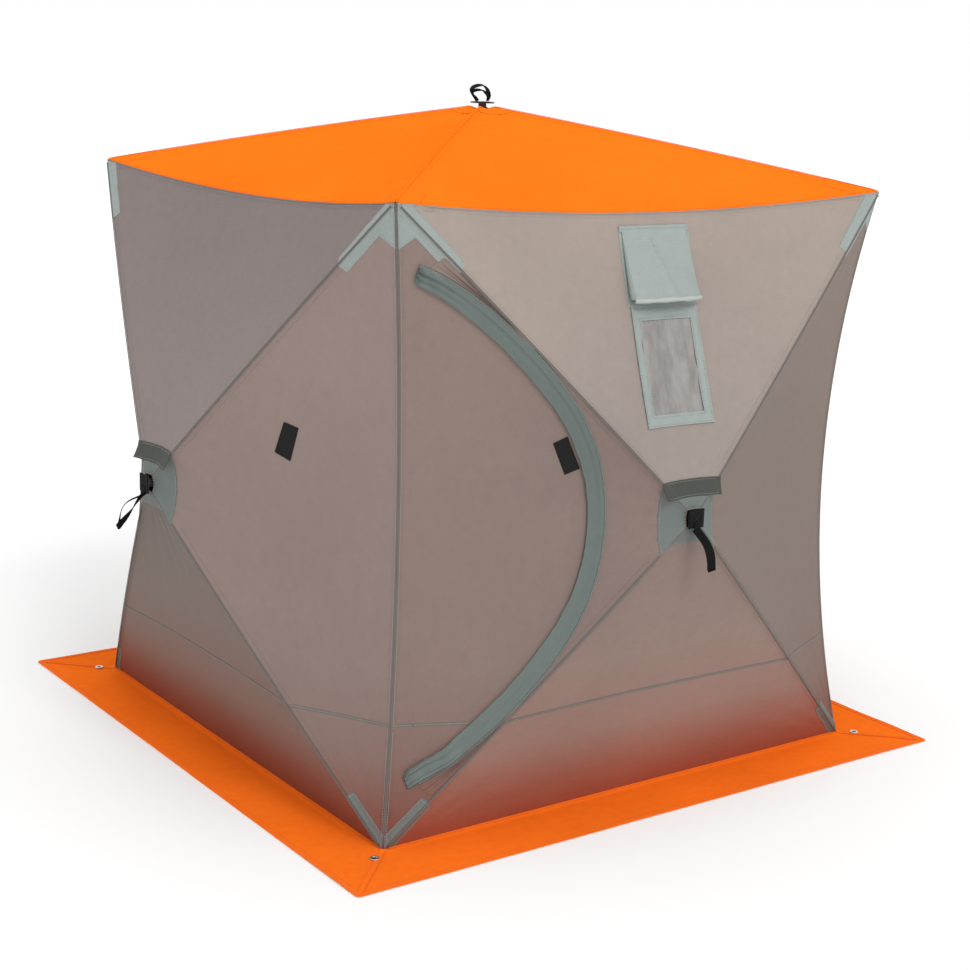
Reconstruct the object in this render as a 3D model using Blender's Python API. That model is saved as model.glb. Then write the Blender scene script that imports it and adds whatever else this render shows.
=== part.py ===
"""Pop-up ice fishing shelter, built as separate sub-parts in metres.

A cube of cloth is held open by five hubs, one in each wall and one in the roof. Four rods run from
each hub to the corners of its face. Pushing a hub in folds its face inward, and pulling its loop
pops the face out again. The origin is on the ground at the middle of the footprint, +Z is up and the
front wall, with the door and the window, faces -Y.
"""
import math

import bpy
import bmesh
from mathutils import Matrix, Vector

# ---- overall sizes -----------------------------------------------------------------------------
WIDTH = 1.500            # corner to corner of a wall, and the wall's height
HALF = WIDTH / 2
RISE = {"front": 0.183, "left": 0.240, "back": 0.183, "right": 0.240, "roof": 0.185}
SKIRT_REACH = 0.178      # how far the snow skirt lies out from the walls
SKIRT_THICK = 0.003
BASE = 0.006             # height of the walls' lower edge over the ground

# ---- cloth -------------------------------------------------------------------------------------
CLOTH = 0.0016           # thickness of a wall's cloth
SEAM_SIDE = 0.064        # how far an upright seam is drawn in at mid height
SEAM_TOP = 0.040         # the same for the four seams round the roof
EDGE_GAP = 0.004         # half the gap between two facets of one face
SEAM_START = 0.005       # facets start this share of the way from the seam to the hub
APEX_STOP = 0.030        # and stop this share of the way short of the hub
BOW = 0.006              # how far a rod bows outward at its middle

# ---- hub and rods ------------------------------------------------------------------------------
ROD_R = 0.004
TIP_SINK = 0.008         # and at the corner
PIN_RADIUS_POS = 0.034   # distance of a rod's pin from the hub's axis
PIN_R = 0.0025
PIN_CLEAR = 0.0004
HUB_R = 0.046
HUB_SINK = 0.01228 + HUB_R * max(RISE.values()) / HALF   # depth of the rods inside the cloth at the hub
HUB_THICK = 0.016
EYE_R = 0.0062
EYE_WIDE = 0.0090
SLOT_WIDE = 0.0100
TIP_BACK = 0.055         # a rod's tip stops this far from its corner
TIP_R = 0.0060
PAD = 0.046              # side of the webbing square outside the cloth
PAD_THICK = 0.003
STEM_R = 0.011
PAD_OUT = 0.006          # the square's height over the cloth's peak

# ---- door --------------------------------------------------------------------------------------
ZIP_R = 0.6065           # the zip bulges from an arc round a point outside the corner seam
ZIP_BULGE = 0.0235       # how far it lies outside that arc at its middle, and inside it halfway out
ZIP_CENTRE = -0.112
DOOR_HINGE = 0.090       # distance of the door's fold from the corner line
DOOR_GAP = 0.002
DOOR_CORNER = 0.028      # height of the door's ends, where the zip comes back to the fold line
FLAP_IN = 0.0225
FLAP_OUT = 0.0235
FLAP_LIFT = 0.0075
FLAP_ANGLE = math.radians(74)

# ---- window and vent in the front wall's upper facet ---------------------------------------------
WINDOW_SHIFT = -0.004    # they sit this far to the left of the wall's middle
WINDOW_FRAME = (0.104, 0.262, 0.536)   # half width, start and end measured down from the top edge
WINDOW_FILM = (0.078, 0.290, 0.508)
VENT_HOLE = (0.072, 0.120, 0.190)
HOOD = (0.100, 0.079, 0.238)
HOOD_STAND = 0.040
HOOD_THICK = 0.0025
LAP = 0.0035             # clearance under the window's frame and over the film

# ---- pull loops ----------------------------------------------------------------------------------
LOOP_LONG = 0.115
LOOP_WIDE = 0.036
LOOP_TILT = math.radians(20)   # the stiff webbing stands out from the wall by this much
STRAP = 0.0125
LOOP_GAP = 0.0024
STRAP_THICK = 0.0030
ROOF_LOOP_WIDE = 0.062
ROOF_LOOP_TALL = 0.054

DIAG = math.sqrt(2) * HALF
X, Y, Z = Vector((1, 0, 0)), Vector((0, 1, 0)), Vector((0, 0, 1))
MID = BASE + HALF

# each face: its middle, the direction to the right, the direction up and the outward normal
FACES = {
    "front": (Vector((0, -HALF, MID)), X, Z, -Y),
    "left": (Vector((-HALF, 0, MID)), -Y, Z, -X),
    "back": (Vector((0, HALF, MID)), -X, Z, Y),
    "right": (Vector((HALF, 0, MID)), Y, Z, X),
    "roof": (Vector((0, 0, MID + HALF)), X, Y, Z),
}
# each facet: the outward direction of its edge and the direction along it, as (right, up) pairs
SIDES = {"a": ((-1, 0), (0, -1)), "b": ((0, 1), (-1, 0)), "c": ((1, 0), (0, 1)), "d": ((0, -1), (1, 0))}

COLLECTION = bpy.data.collections.new("ice_shelter")
CUTTERS = bpy.data.collections.new("cutters")


def start_scene():
    """Empty the scene and link the two collections."""
    for obj in list(bpy.data.objects):
        bpy.data.objects.remove(obj, do_unlink=True)
    for coll in (COLLECTION, CUTTERS):
        bpy.context.scene.collection.children.link(coll)
    CUTTERS.hide_render = True


def material(name, color, rough=0.8, metal=0.0):
    """A plain Principled material."""
    mat = bpy.data.materials.get(name) or bpy.data.materials.new(name)
    mat.use_nodes = True
    bsdf = mat.node_tree.nodes["Principled BSDF"]
    bsdf.inputs["Base Color"].default_value = (*color, 1.0)
    bsdf.inputs["Roughness"].default_value = rough
    bsdf.inputs["Metallic"].default_value = metal
    return mat


def seam_depth(face, side):
    """How far the seam at a facet's edge is drawn in at its middle."""
    if face == "roof" or side == "b":
        return SEAM_TOP
    return 0.0 if side == "d" else SEAM_SIDE


def surface(face, side, along, inward, out=0.0):
    """Point of a facet's cloth. The facet is a cone from its drawn-in seam to the hub.

    along runs along the facet's edge from its middle, inward runs from the edge to the hub.
    """
    centre, right, up, normal = FACES[face]
    dip = seam_depth(face, side)
    k = HALF - inward
    w = (k + math.sqrt(max(k * k - 4 * (HALF - dip) * dip * (along / HALF) ** 2, 0.0))) / (2 * (HALF - dip))
    w = max(w, 1e-6)
    u = along / (HALF * w)
    height = RISE[face] * (1 - w) - dip * (1 - u * u) * w + BOW * 4 * w * (1 - w) * min(u * u, 1.0)
    e, t = SIDES[side]
    edge = right * e[0] + up * e[1]
    tang = right * t[0] + up * t[1]
    return centre + edge * (HALF - inward) + tang * along + normal * (height + out)


def cone_to_flat(face, side, u, w):
    """The along and inward distances of the cone's parameters u and w."""
    dip = seam_depth(face, side)
    return u * HALF * w, HALF * (1 - w) + dip * (1 - u * u) * w


def finish(bm, name, mat, coll=None):
    """Turn a bmesh into a named object with outward faces."""
    bmesh.ops.recalc_face_normals(bm, faces=bm.faces)
    mesh = bpy.data.meshes.new(name)
    bm.to_mesh(mesh)
    bm.free()
    obj = bpy.data.objects.new(name, mesh)
    (coll or COLLECTION).objects.link(obj)
    if coll is CUTTERS:
        obj.display_type = "WIRE"
        obj.hide_render = True
    if mat:
        mesh.materials.append(mat)
    return obj


def sheet(name, mat, outer, rows, cols, inner=None, thick=None, normal=None):
    """Closed thin solid. outer(i, j) gives the outside point, the inside is thick below it."""
    bm = bmesh.new()
    top = [[bm.verts.new(outer(i / (rows - 1), j / (cols - 1))) for j in range(cols)] for i in range(rows)]
    low = [[bm.verts.new(v.co - normal * thick) for v in row] for row in top]
    if inner:
        low_pts = [[inner(i / (rows - 1), j / (cols - 1)) for j in range(cols)] for i in range(rows)]
        for row, pts in zip(low, low_pts):
            for v, p in zip(row, pts):
                v.co = p
    for i in range(rows - 1):
        for j in range(cols - 1):
            bm.faces.new((top[i][j], top[i + 1][j], top[i + 1][j + 1], top[i][j + 1]))
            bm.faces.new((low[i][j], low[i][j + 1], low[i + 1][j + 1], low[i + 1][j]))
    ring = [(i, 0) for i in range(rows)] + [(rows - 1, j) for j in range(1, cols)]
    ring += [(i, cols - 1) for i in range(rows - 2, -1, -1)] + [(0, j) for j in range(cols - 2, 0, -1)]
    for (a, b), (c, d) in zip(ring, ring[1:] + ring[:1]):
        bm.faces.new((top[a][b], top[c][d], low[c][d], low[a][b]))
    return finish(bm, name, mat)


def prism(name, outline, low, high, normal, mat=None, coll=None):
    """Closed prism over an outline of points, from low to high along the normal."""
    bm = bmesh.new()
    bottom = [bm.verts.new(p + normal * low) for p in outline]
    upper = [bm.verts.new(p + normal * high) for p in outline]
    bm.faces.new(bottom)
    bm.faces.new(upper)
    for i in range(len(outline)):
        k = (i + 1) % len(outline)
        bm.faces.new((bottom[i], bottom[k], upper[k], upper[i]))
    return finish(bm, name, mat, coll)


def cylinder(name, start, end, radius, steps=16, mat=None, coll=None):
    """Closed cylinder between two points."""
    bm = bmesh.new()
    length = (end - start).length
    turn = (end - start).to_track_quat("Z", "Y").to_matrix().to_4x4()
    bmesh.ops.create_cone(bm, cap_ends=True, segments=steps, radius1=radius, radius2=radius, depth=length,
                          matrix=Matrix.Translation((start + end) / 2) @ turn)
    return finish(bm, name, mat, coll)


def combine(obj, other, how):
    """Exact boolean of an object with a cutter or an added piece."""
    mod = obj.modifiers.new(how.lower(), "BOOLEAN")
    mod.operation = how
    mod.object = other
    mod.solver = "EXACT"


def face_point(face, x, y, out):
    """Point over a face: x to the right, y up and out along the normal, from the face's middle."""
    centre, right, up, normal = FACES[face]
    return centre + right * x + up * y + normal * out


def rod_height(face, radius):
    """Height of a rod's centre line over its face's corners, at a distance from the hub's axis."""
    w = radius / DIAG
    return RISE[face] * (1 - w) + BOW * 4 * w * (1 - w) - HUB_SINK * (1 - w) - TIP_SINK * w


def pin_height(face):
    return rod_height(face, PIN_RADIUS_POS)


def build_facets(face, mats):
    """Four cloth triangles of a face, with room for the hub at their common tip."""
    normal = FACES[face][3]
    cloth = mats["roof" if face == "roof" else "wall"]
    made = {}
    for side in SIDES:
        def outer(i, j, side=side):
            w = (1 - SEAM_START) + (APEX_STOP - (1 - SEAM_START)) * i
            along, inward = cone_to_flat(face, side, -1 + 2 * j, w)
            limit = 1 - EDGE_GAP / max(abs(along), 1e-6) if abs(along) > EDGE_GAP else 1
            return surface(face, side, along * (limit if abs(j - 0.5) > 0.4999 else 1), inward)
        made[side] = sheet(f"{face}_facet_{side}", cloth, outer, 9, 9, thick=CLOTH, normal=normal)
    return made


def cut_box(name, face, side, half, start, end, shift):
    """Cutter through a facet: a box seen square on to the face."""
    normal = FACES[face][3]
    pts = [surface(face, side, along, inward) for along, inward in
           ((shift - half, start), (shift + half, start), (shift + half, end), (shift - half, end))]
    level = sum((p.dot(normal) for p in pts)) / 4
    flat = [p - normal * (p.dot(normal) - level) for p in pts]
    return prism(name, flat, -0.08, 0.08, normal, coll=CUTTERS)


def zip_point(angle, shift=0.0):
    """Along and inward distances of a point at an angle round the zip's centre, shift outside the zip."""
    radius = ZIP_R + ZIP_BULGE * math.cos(4 * angle) + shift
    return radius * math.sin(angle), ZIP_CENTRE + radius * math.cos(angle)


def zip_end(inward):
    """Angle at which the zip is that far in from the corner seam."""
    low, high = math.radians(45), math.radians(90)
    for _ in range(50):
        middle = (low + high) / 2
        if zip_point(middle)[1] > inward:
            low = middle
        else:
            high = middle
    return low


def build_door(facets, mats):
    """Door panel, its cut-out in the facet beside it, the storm flap and the zip slider."""
    normal = FACES["front"][3]

    corner = zip_end(DOOR_HINGE + DOOR_CORNER)

    def panel(i, j):
        along, edge = zip_point(-corner + 2 * corner * j, -DOOR_GAP)
        return surface("front", "a", along, DOOR_HINGE + (edge - DOOR_HINGE) * i)
    sheet("door_panel", mats["wall"], panel, 9, 19, thick=CLOTH, normal=normal)

    end = zip_end(DOOR_HINGE - DOOR_GAP)
    outline = [zip_point(-end + 2 * end * k / 36) for k in range(37)]
    level = (FACES["front"][0]).dot(normal)
    flat = []
    for along, inward in outline:
        p = surface("front", "a", along, inward)
        flat.append(p - normal * (p.dot(normal) - level))
    combine(facets["a"], prism("door_cutter", flat, -0.15, 0.3, normal, coll=CUTTERS), "DIFFERENCE")

    def flap(i, j):
        angle = -FLAP_ANGLE + 2 * FLAP_ANGLE * j
        along, inward = zip_point(angle, (FLAP_IN + FLAP_OUT) * i - FLAP_IN)
        return surface("front", "a", along, inward, FLAP_LIFT + CLOTH)
    sheet("storm_flap", mats["binding"], flap, 3, 31, thick=CLOTH, normal=normal)

    along, inward = zip_point(math.radians(62))
    body = surface("front", "a", along, inward, 0.0006)
    across = (surface("front", "a", along, inward + 0.01) - surface("front", "a", along, inward)).normalized()
    run = (surface("front", "a", along + 0.01, inward) - surface("front", "a", along, inward)).normalized()
    face_out = across.cross(run).normalized()
    if face_out.dot(normal) < 0:
        face_out = -face_out
    run = (run - across * run.dot(across)).normalized()
    body = body + face_out * 0.0008
    corners = [body + across * x + run * y for x, y in ((-0.005, -0.007), (0.005, -0.007), (0.005, 0.007),
                                                        (-0.005, 0.007))]
    prism("zip_slider", corners, 0.0, 0.0030, face_out, mats["metal"])
    base = body + run * 0.0030
    tab = [base + across * x + run * y for x, y in ((-0.0035, 0.0), (0.0035, 0.0), (0.0045, 0.026),
                                                    (-0.0045, 0.026))]
    prism("zip_pull", tab, 0.0034, 0.0046, face_out, mats["black"])


def build_window(facets, mats):
    """Cut-outs in the upper front facet, the film, its frame and the vent's hood and prop."""
    normal = FACES["front"][3]
    for name, (half, start, end) in (("window_cutter", WINDOW_FILM), ("vent_cutter", VENT_HOLE)):
        combine(facets["b"], cut_box(name, "front", "b", half, start, end, WINDOW_SHIFT), "DIFFERENCE")

    half, start, end = WINDOW_FILM
    grow = 0.012

    def film(i, j):
        return surface("front", "b", WINDOW_SHIFT + (half + grow) * (2 * j - 1),
                       start - grow + (end - start + 2 * grow) * i, -CLOTH - 0.0006)
    sheet("window_film", mats["film"], film, 7, 5, thick=0.0006, normal=normal)

    half, start, end = WINDOW_FRAME

    def board(i, j):
        return surface("front", "b", WINDOW_SHIFT + half * (2 * j - 1), start + (end - start) * i, LAP)
    frame = sheet("window_frame", mats["binding"], board, 9, 5, thick=0.0022, normal=normal)
    combine(frame, cut_box("frame_cutter", "front", "b", WINDOW_FILM[0], WINDOW_FILM[1], WINDOW_FILM[2],
                           WINDOW_SHIFT), "DIFFERENCE")

    half, start, end = HOOD

    def hood_out(i, j):
        stand = 0.004 + (HOOD_STAND - 0.004) * i ** 1.3 * (1 - 0.55 * abs(2 * j - 1) ** 4)
        return surface("front", "b", WINDOW_SHIFT + half * (2 * j - 1), start + (end - start) * i, stand)

    def hood_in(i, j):
        return hood_out(i, j) - normal * (HOOD_THICK + (0.007 if i > 0.93 else 0.0))
    sheet("vent_hood", mats["binding"], hood_out, 9, 9, hood_in, HOOD_THICK, normal)

    foot = surface("front", "b", WINDOW_SHIFT, VENT_HOLE[2] + 0.016, 0.0025)
    head = surface("front", "b", WINDOW_SHIFT, end - 0.012, HOOD_STAND - 0.016)
    cylinder("vent_prop", foot, head, 0.0022, 8, mats["black"])


def build_hub(face, mats):
    """Slotted disc with four rod pins, a stem through the cloth and the webbing square outside it."""
    centre, right, up, normal = FACES[face]
    level = pin_height(face)
    top = RISE[face] + PAD_OUT
    hub = cylinder(f"{face}_hub", face_point(face, 0, 0, level - HUB_THICK / 2),
                   face_point(face, 0, 0, level + HUB_THICK / 2), HUB_R, 32, mats["black"])
    for k in range(4):
        turn = math.radians(45 + 90 * k)
        ray = right * math.cos(turn) + up * math.sin(turn)
        side = normal.cross(ray)
        mid = face_point(face, 0, 0, level)
        ends = [mid + ray * r + side * s for r, s in ((0.024, -SLOT_WIDE / 2), (0.06, -SLOT_WIDE / 2),
                                                      (0.06, SLOT_WIDE / 2), (0.024, SLOT_WIDE / 2))]
        combine(hub, prism(f"{face}_slot_{k}", ends, -0.02, 0.02, normal, coll=CUTTERS), "DIFFERENCE")
        pin = mid + ray * PIN_RADIUS_POS
        reach = SLOT_WIDE / 2 + 0.002
        combine(hub, cylinder(f"{face}_pin_{k}", pin - side * reach, pin + side * reach, PIN_R, 12,
                              coll=CUTTERS), "UNION")
    stem = cylinder(f"{face}_stem", face_point(face, 0, 0, level), face_point(face, 0, 0, top + 0.001),
                    STEM_R, 16, coll=CUTTERS)
    combine(hub, stem, "UNION")
    half = PAD / 2
    pad = [face_point(face, x, y, top) for x, y in ((-half, -half), (half, -half), (half, half), (-half, half))]
    combine(hub, prism(f"{face}_pad", pad, 0, PAD_THICK, normal, coll=CUTTERS), "UNION")


def build_rods(face, mats):
    """Four bowed rods. Each ends in an eye round its hub pin and in a rounded tip near its corner."""
    centre, right, up, normal = FACES[face]
    stations, around = 9, 8
    last = DIAG - TIP_BACK
    for k in range(4):
        turn = math.radians(45 + 90 * k)
        ray = right * math.cos(turn) + up * math.sin(turn)
        side = normal.cross(ray)
        bm = bmesh.new()
        rings = []
        first = PIN_RADIUS_POS + 0.0035
        for i in range(stations + 2):
            part = min(i / (stations - 1), 1.0)
            radius = first + (last - first) * part + (0.0, 0.0, 0.006)[max(0, i - stations + 1)] * (i > stations)
            if i == stations:
                radius -= 0.0
            thick = ROD_R if i < stations - 1 else (ROD_R, TIP_R, TIP_R * 0.6)[i - stations + 1]
            if i == stations:
                radius += 0.003
            if i == stations + 1:
                radius += 0.009
            mid = centre + ray * radius + normal * rod_height(face, radius)
            rings.append([bm.verts.new(mid + (side * math.cos(t) + normal * math.sin(t)) * thick)
                          for t in (2 * math.pi * n / around for n in range(around))])
        for one, two in zip(rings, rings[1:]):
            for n in range(around):
                m = (n + 1) % around
                bm.faces.new((one[n], one[m], two[m], two[n]))
        bm.faces.new(rings[0])
        bm.faces.new(rings[-1])
        rod = finish(bm, f"{face}_rod_{k + 1}", mats["rod"])
        pin = centre + ray * PIN_RADIUS_POS + normal * pin_height(face)
        half = EYE_WIDE / 2
        combine(rod, cylinder(f"{face}_eye_{k}", pin - side * half, pin + side * half, EYE_R, 16,
                              coll=CUTTERS), "UNION")
        combine(rod, cylinder(f"{face}_bore_{k}", pin - side * 0.01, pin + side * 0.01,
                              PIN_R + PIN_CLEAR, 12, coll=CUTTERS), "DIFFERENCE")


def ring_loop(name, mat, start, down, wide_dir, length, width, strap, thick, closed_base=False):
    """Long ring of webbing. It hangs from start along down, with its flat side to the front."""
    flat = down.cross(wide_dir).normalized()
    steps = 10
    outer, inner = [], []
    big, small = width / 2, width / 2 - strap
    for centre, spin in ((big, 180), (length - big, 0)):
        for k in range(steps + 1):
            t = math.radians(spin + 180 * k / steps)
            outer.append(start + wide_dir * (big * math.cos(t)) + down * (centre + big * math.sin(t)))
            inner.append(start + wide_dir * (small * math.cos(t)) + down * (centre + small * math.sin(t)))
    bm = bmesh.new()
    layers = [[bm.verts.new(p + flat * s) for p in pts] for s in (-thick / 2, thick / 2) for pts in (outer, inner)]
    lo_out, lo_in, hi_out, hi_in = layers
    n = len(outer)
    for i in range(n):
        k = (i + 1) % n
        bm.faces.new((lo_out[i], lo_out[k], lo_in[k], lo_in[i]))
        bm.faces.new((hi_out[i], hi_in[i], hi_in[k], hi_out[k]))
        bm.faces.new((lo_out[i], hi_out[i], hi_out[k], lo_out[k]))
        bm.faces.new((lo_in[i], lo_in[k], hi_in[k], hi_in[i]))
    return finish(bm, name, mat)


def build_loops(mats):
    """Pull loops: four hang from the walls' webbing squares and one stands up on the roof."""
    for face in ("front", "left", "back", "right"):
        right, up, normal = FACES[face][1:]
        start = face_point(face, 0, -PAD / 2 - LOOP_GAP, RISE[face] + PAD_OUT + PAD_THICK / 2)
        down = (-up * math.cos(LOOP_TILT) + normal * math.sin(LOOP_TILT)).normalized()
        ring_loop(f"{face}_pull_loop", mats["black"], start, down, right, LOOP_LONG, LOOP_WIDE, STRAP, STRAP_THICK)
    turn = math.radians(25)
    wide = X * math.cos(turn) + Y * math.sin(turn)
    deep = Z.cross(wide)
    base = face_point("roof", 0, 0, RISE["roof"] + PAD_OUT + PAD_THICK + 0.0004)
    steps = 20
    bm = bmesh.new()
    rings = []
    for k in range(steps):
        t = 2 * math.pi * k / steps
        for_scale = []
        for shrink in (0.0, STRAP_THICK):
            x = (ROOF_LOOP_WIDE / 2 - shrink) * math.cos(t)
            z = ROOF_LOOP_TALL / 2 + (ROOF_LOOP_TALL / 2 - shrink) * math.sin(t)
            for s in (-1, 1):
                for_scale.append(bm.verts.new(base + wide * x + Z * z + deep * (s * STRAP * 0.8)))
        rings.append(for_scale)
    for one, two in zip(rings, rings[1:] + rings[:1]):
        for a, b in ((0, 1), (1, 3), (3, 2), (2, 0)):
            bm.faces.new((one[a], one[b], two[b], two[a]))
    finish(bm, "roof_pull_loop", mats["black"])


def build_skirt(mats):
    """Snow skirt: a square frame of cloth on the ground with an eyelet hole at each corner."""
    reach, inside = HALF + SKIRT_REACH, HALF - 0.012
    bm = bmesh.new()
    low, high = [], []
    cut = 0.018
    for size, store in ((reach, low), (inside, high)):
        for sx, sy in ((1, 1), (-1, 1), (-1, -1), (1, -1)):
            trim = cut if size == reach else 0.0
            near = [Vector((sx * size, sy * (size - trim), 0)), Vector((sx * (size - trim), sy * size, 0))]
            store.extend(near if sx * sy > 0 else near[::-1])
    layers = []
    for z in (0.0, SKIRT_THICK):
        layers.append(([bm.verts.new(p + Z * z) for p in low], [bm.verts.new(p + Z * z) for p in high[::2]]))
    for out, inn in layers:
        for i in range(4):
            a, b, c = out[2 * i], out[2 * i + 1], out[(2 * i + 2) % 8]
            bm.faces.new((a, b, inn[i]))
            bm.faces.new((b, c, inn[(i + 1) % 4], inn[i]))
    for i in range(8):
        k = (i + 1) % 8
        bm.faces.new((layers[0][0][i], layers[0][0][k], layers[1][0][k], layers[1][0][i]))
    for i in range(4):
        k = (i + 1) % 4
        bm.faces.new((layers[0][1][i], layers[0][1][k], layers[1][1][k], layers[1][1][i]))
    skirt = finish(bm, "snow_skirt", mats["skirt"])
    for n, (sx, sy) in enumerate(((1, 1), (-1, 1), (-1, -1), (1, -1))):
        at = Vector((sx * (HALF + 0.045), sy * (HALF + 0.035), 0))
        combine(skirt, cylinder(f"eyelet_{n}", at - Z * 0.02, at + Z * 0.02, 0.0065, 16, coll=CUTTERS),
                "DIFFERENCE")


def main():
    """Build every sub-part."""
    start_scene()
    mats = {
        "wall": material("wall_cloth", (0.30, 0.25, 0.23)),
        "roof": material("roof_cloth", (0.95, 0.20, 0.02)),
        "skirt": material("skirt_cloth", (0.93, 0.16, 0.03)),
        "binding": material("binding_cloth", (0.22, 0.29, 0.27)),
        "black": material("black_webbing", (0.02, 0.02, 0.02)),
        "rod": material("rod_fibre", (0.10, 0.10, 0.10), 0.4),
        "film": material("window_film", (0.75, 0.78, 0.80), 0.2),
        "metal": material("zip_metal", (0.60, 0.60, 0.62), 0.3, 1.0),
    }
    build_skirt(mats)
    facets = {face: build_facets(face, mats) for face in FACES}
    build_door(facets["front"], mats)
    build_window(facets["front"], mats)
    for face in FACES:
        build_hub(face, mats)
        build_rods(face, mats)
    build_loops(mats)


main()
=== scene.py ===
"""Ice fishing shelter: the cloth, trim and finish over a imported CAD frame, laid out as a small add-on.

Every surface is computed with numpy grids from the shelter's own sizes. A wall facet is a cone whose
base is the drawn-in seam and whose tip is the hub, with small folds added on top of it.
"""
import math

import bmesh
import bpy
import numpy as np
from bpy.props import FloatProperty, FloatVectorProperty, IntProperty, PointerProperty
from mathutils import Matrix, Vector


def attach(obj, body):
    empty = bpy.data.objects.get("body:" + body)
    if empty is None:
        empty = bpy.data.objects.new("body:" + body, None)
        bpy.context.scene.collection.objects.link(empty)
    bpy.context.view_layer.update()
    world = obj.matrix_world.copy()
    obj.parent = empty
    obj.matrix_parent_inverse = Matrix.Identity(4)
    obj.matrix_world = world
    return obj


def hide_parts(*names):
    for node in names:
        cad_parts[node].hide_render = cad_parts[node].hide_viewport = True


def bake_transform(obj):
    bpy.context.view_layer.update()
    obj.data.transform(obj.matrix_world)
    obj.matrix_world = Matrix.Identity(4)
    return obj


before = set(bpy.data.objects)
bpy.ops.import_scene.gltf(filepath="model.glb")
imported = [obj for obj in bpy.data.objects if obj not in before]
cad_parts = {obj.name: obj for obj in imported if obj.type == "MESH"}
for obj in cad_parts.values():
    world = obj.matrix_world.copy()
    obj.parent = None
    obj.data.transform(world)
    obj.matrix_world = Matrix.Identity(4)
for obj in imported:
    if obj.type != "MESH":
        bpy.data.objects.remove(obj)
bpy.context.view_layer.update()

bl_info = {
    "name": "Ice Fishing Shelter",
    "version": (1, 0, 0),
    "blender": (4, 5, 0),
    "location": "View3D > Sidebar > Shelter",
    "description": "Builds the cloth, trim and finish of a pop-up ice fishing shelter",
    "category": "Object",
}

# ---- sizes shared with the frame -----------------------------------------------------------------
HALF = 0.750
BASE = 0.006
MID = BASE + HALF
DIAG = math.sqrt(2) * HALF
RISE = {"front": 0.183, "left": 0.240, "back": 0.183, "right": 0.240, "roof": 0.185}
SEAM_SIDE, SEAM_TOP = 0.064, 0.040
BOW = 0.006
HUB_SINK, TIP_SINK = 0.027, 0.008
PIN_POS, PIN_R = 0.034, 0.0025
TIP_BACK = 0.055
PAD, PAD_OUT, PAD_THICK = 0.046, 0.006, 0.003
ZIP_R, ZIP_BULGE, ZIP_CENTRE, DOOR_FOLD = 0.6065, 0.0235, -0.112, 0.090
FLAP_ANGLE, SLIDER_ANGLE = 74, 62      # degrees round the zip's centre
SHIFT = -0.004
HOOD = (0.100, 0.079, 0.238)
HOOD_STAND = 0.040
FRAME_BOX = (0.104, 0.262, 0.536)
FILM_BOX = (0.078, 0.290, 0.508)
VENT_BOX = (0.072, 0.120, 0.190)
SKIRT_REACH = 0.178
LOOP_LONG, LOOP_TILT, LOOP_GAP = 0.115, math.radians(20), 0.0024

X, Y, Z = np.eye(3)
FACES = {
    "front": (np.array([0, -HALF, MID]), X, Z, -Y),
    "left": (np.array([-HALF, 0, MID]), -Y, Z, -X),
    "back": (np.array([0, HALF, MID]), -X, Z, Y),
    "right": (np.array([HALF, 0, MID]), Y, Z, X),
    "roof": (np.array([0, 0, MID + HALF]), X, Y, Z),
}
SIDES = {"a": ((-1, 0), (0, -1)), "b": ((0, 1), (-1, 0)), "c": ((1, 0), (0, 1)), "d": ((0, -1), (1, 0))}
BAND = 0.290          # height of the seam over the lower band


class ShelterSettings(bpy.types.PropertyGroup):
    """What the shelter's operators read."""

    fold_depth: FloatProperty(name="Fold depth", description="Height of the cloth's tension folds",
                              default=0.0013, min=0.0, max=0.004, unit="LENGTH")
    slack: FloatProperty(name="Slack", description="How far the cloth sags between two rods",
                         default=0.007, min=0.0, max=0.02, unit="LENGTH")
    columns: IntProperty(name="Columns", description="Cells along a facet's edge",
                         default=96, min=12, max=200)
    rows: IntProperty(name="Rows", description="Cells from a facet's edge to its hub",
                      default=72, min=10, max=160)
    stitch: FloatProperty(name="Stitch pitch", description="Distance between two stitches",
                          default=0.0065, min=0.002, max=0.02, unit="LENGTH")
    wall: FloatVectorProperty(name="Wall", description="Colour of the walls' cloth", subtype="COLOR",
                              default=(0.270, 0.215, 0.190), min=0.0, max=1.0)
    roof: FloatVectorProperty(name="Roof", description="Colour of the roof's cloth", subtype="COLOR",
                              default=(0.90, 0.180, 0.010), min=0.0, max=1.0)
    skirt: FloatVectorProperty(name="Skirt", description="Colour of the snow skirt", subtype="COLOR",
                               default=(0.95, 0.168, 0.013), min=0.0, max=1.0)
    binding: FloatVectorProperty(name="Binding", description="Colour of bindings and patches",
                                 subtype="COLOR", default=(0.262, 0.300, 0.285), min=0.0, max=1.0)


# ---- cloth surface -------------------------------------------------------------------------------
def seam_depth(face, side):
    """How far the seam at a facet's edge is drawn in at its middle."""
    if face == "roof" or side == "b":
        return SEAM_TOP
    return 0.0 if side == "d" else SEAM_SIDE


def noise(x, y, seed=0.0):
    """Smooth noise from -1 to 1: a sum of turned sine waves with unrelated lengths."""
    out = np.zeros(np.broadcast(x, y).shape)
    for k in range(6):
        t = 1.9 * k + seed
        f = 1.0 + 0.73 * k
        out += np.sin(f * (x * math.cos(t) + y * math.sin(t)) + 2.3 * k + 1.7 * seed) / (1 + 0.55 * k)
    return out / 3.4


def unit(v):
    """Vectors of length one along the last axis."""
    return v / np.linalg.norm(v, axis=-1, keepdims=True)


def heading(path):
    """Direction of a line at each of its points."""
    return unit(np.gradient(path, axis=0))


def square_to(tangent, wish):
    """The wished directions, turned until they are square to the line's direction."""
    return unit(wish - tangent * (wish * tangent).sum(-1, keepdims=True))


def fill(corners, i, j):
    """Points of a four-cornered shape at the shares i and j of its sides."""
    c = np.array(corners, float)
    i, j = i[..., None], j[..., None]
    return c[0] * (1 - i) * (1 - j) + c[1] * i * (1 - j) + c[2] * i * j + c[3] * (1 - i) * j


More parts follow.
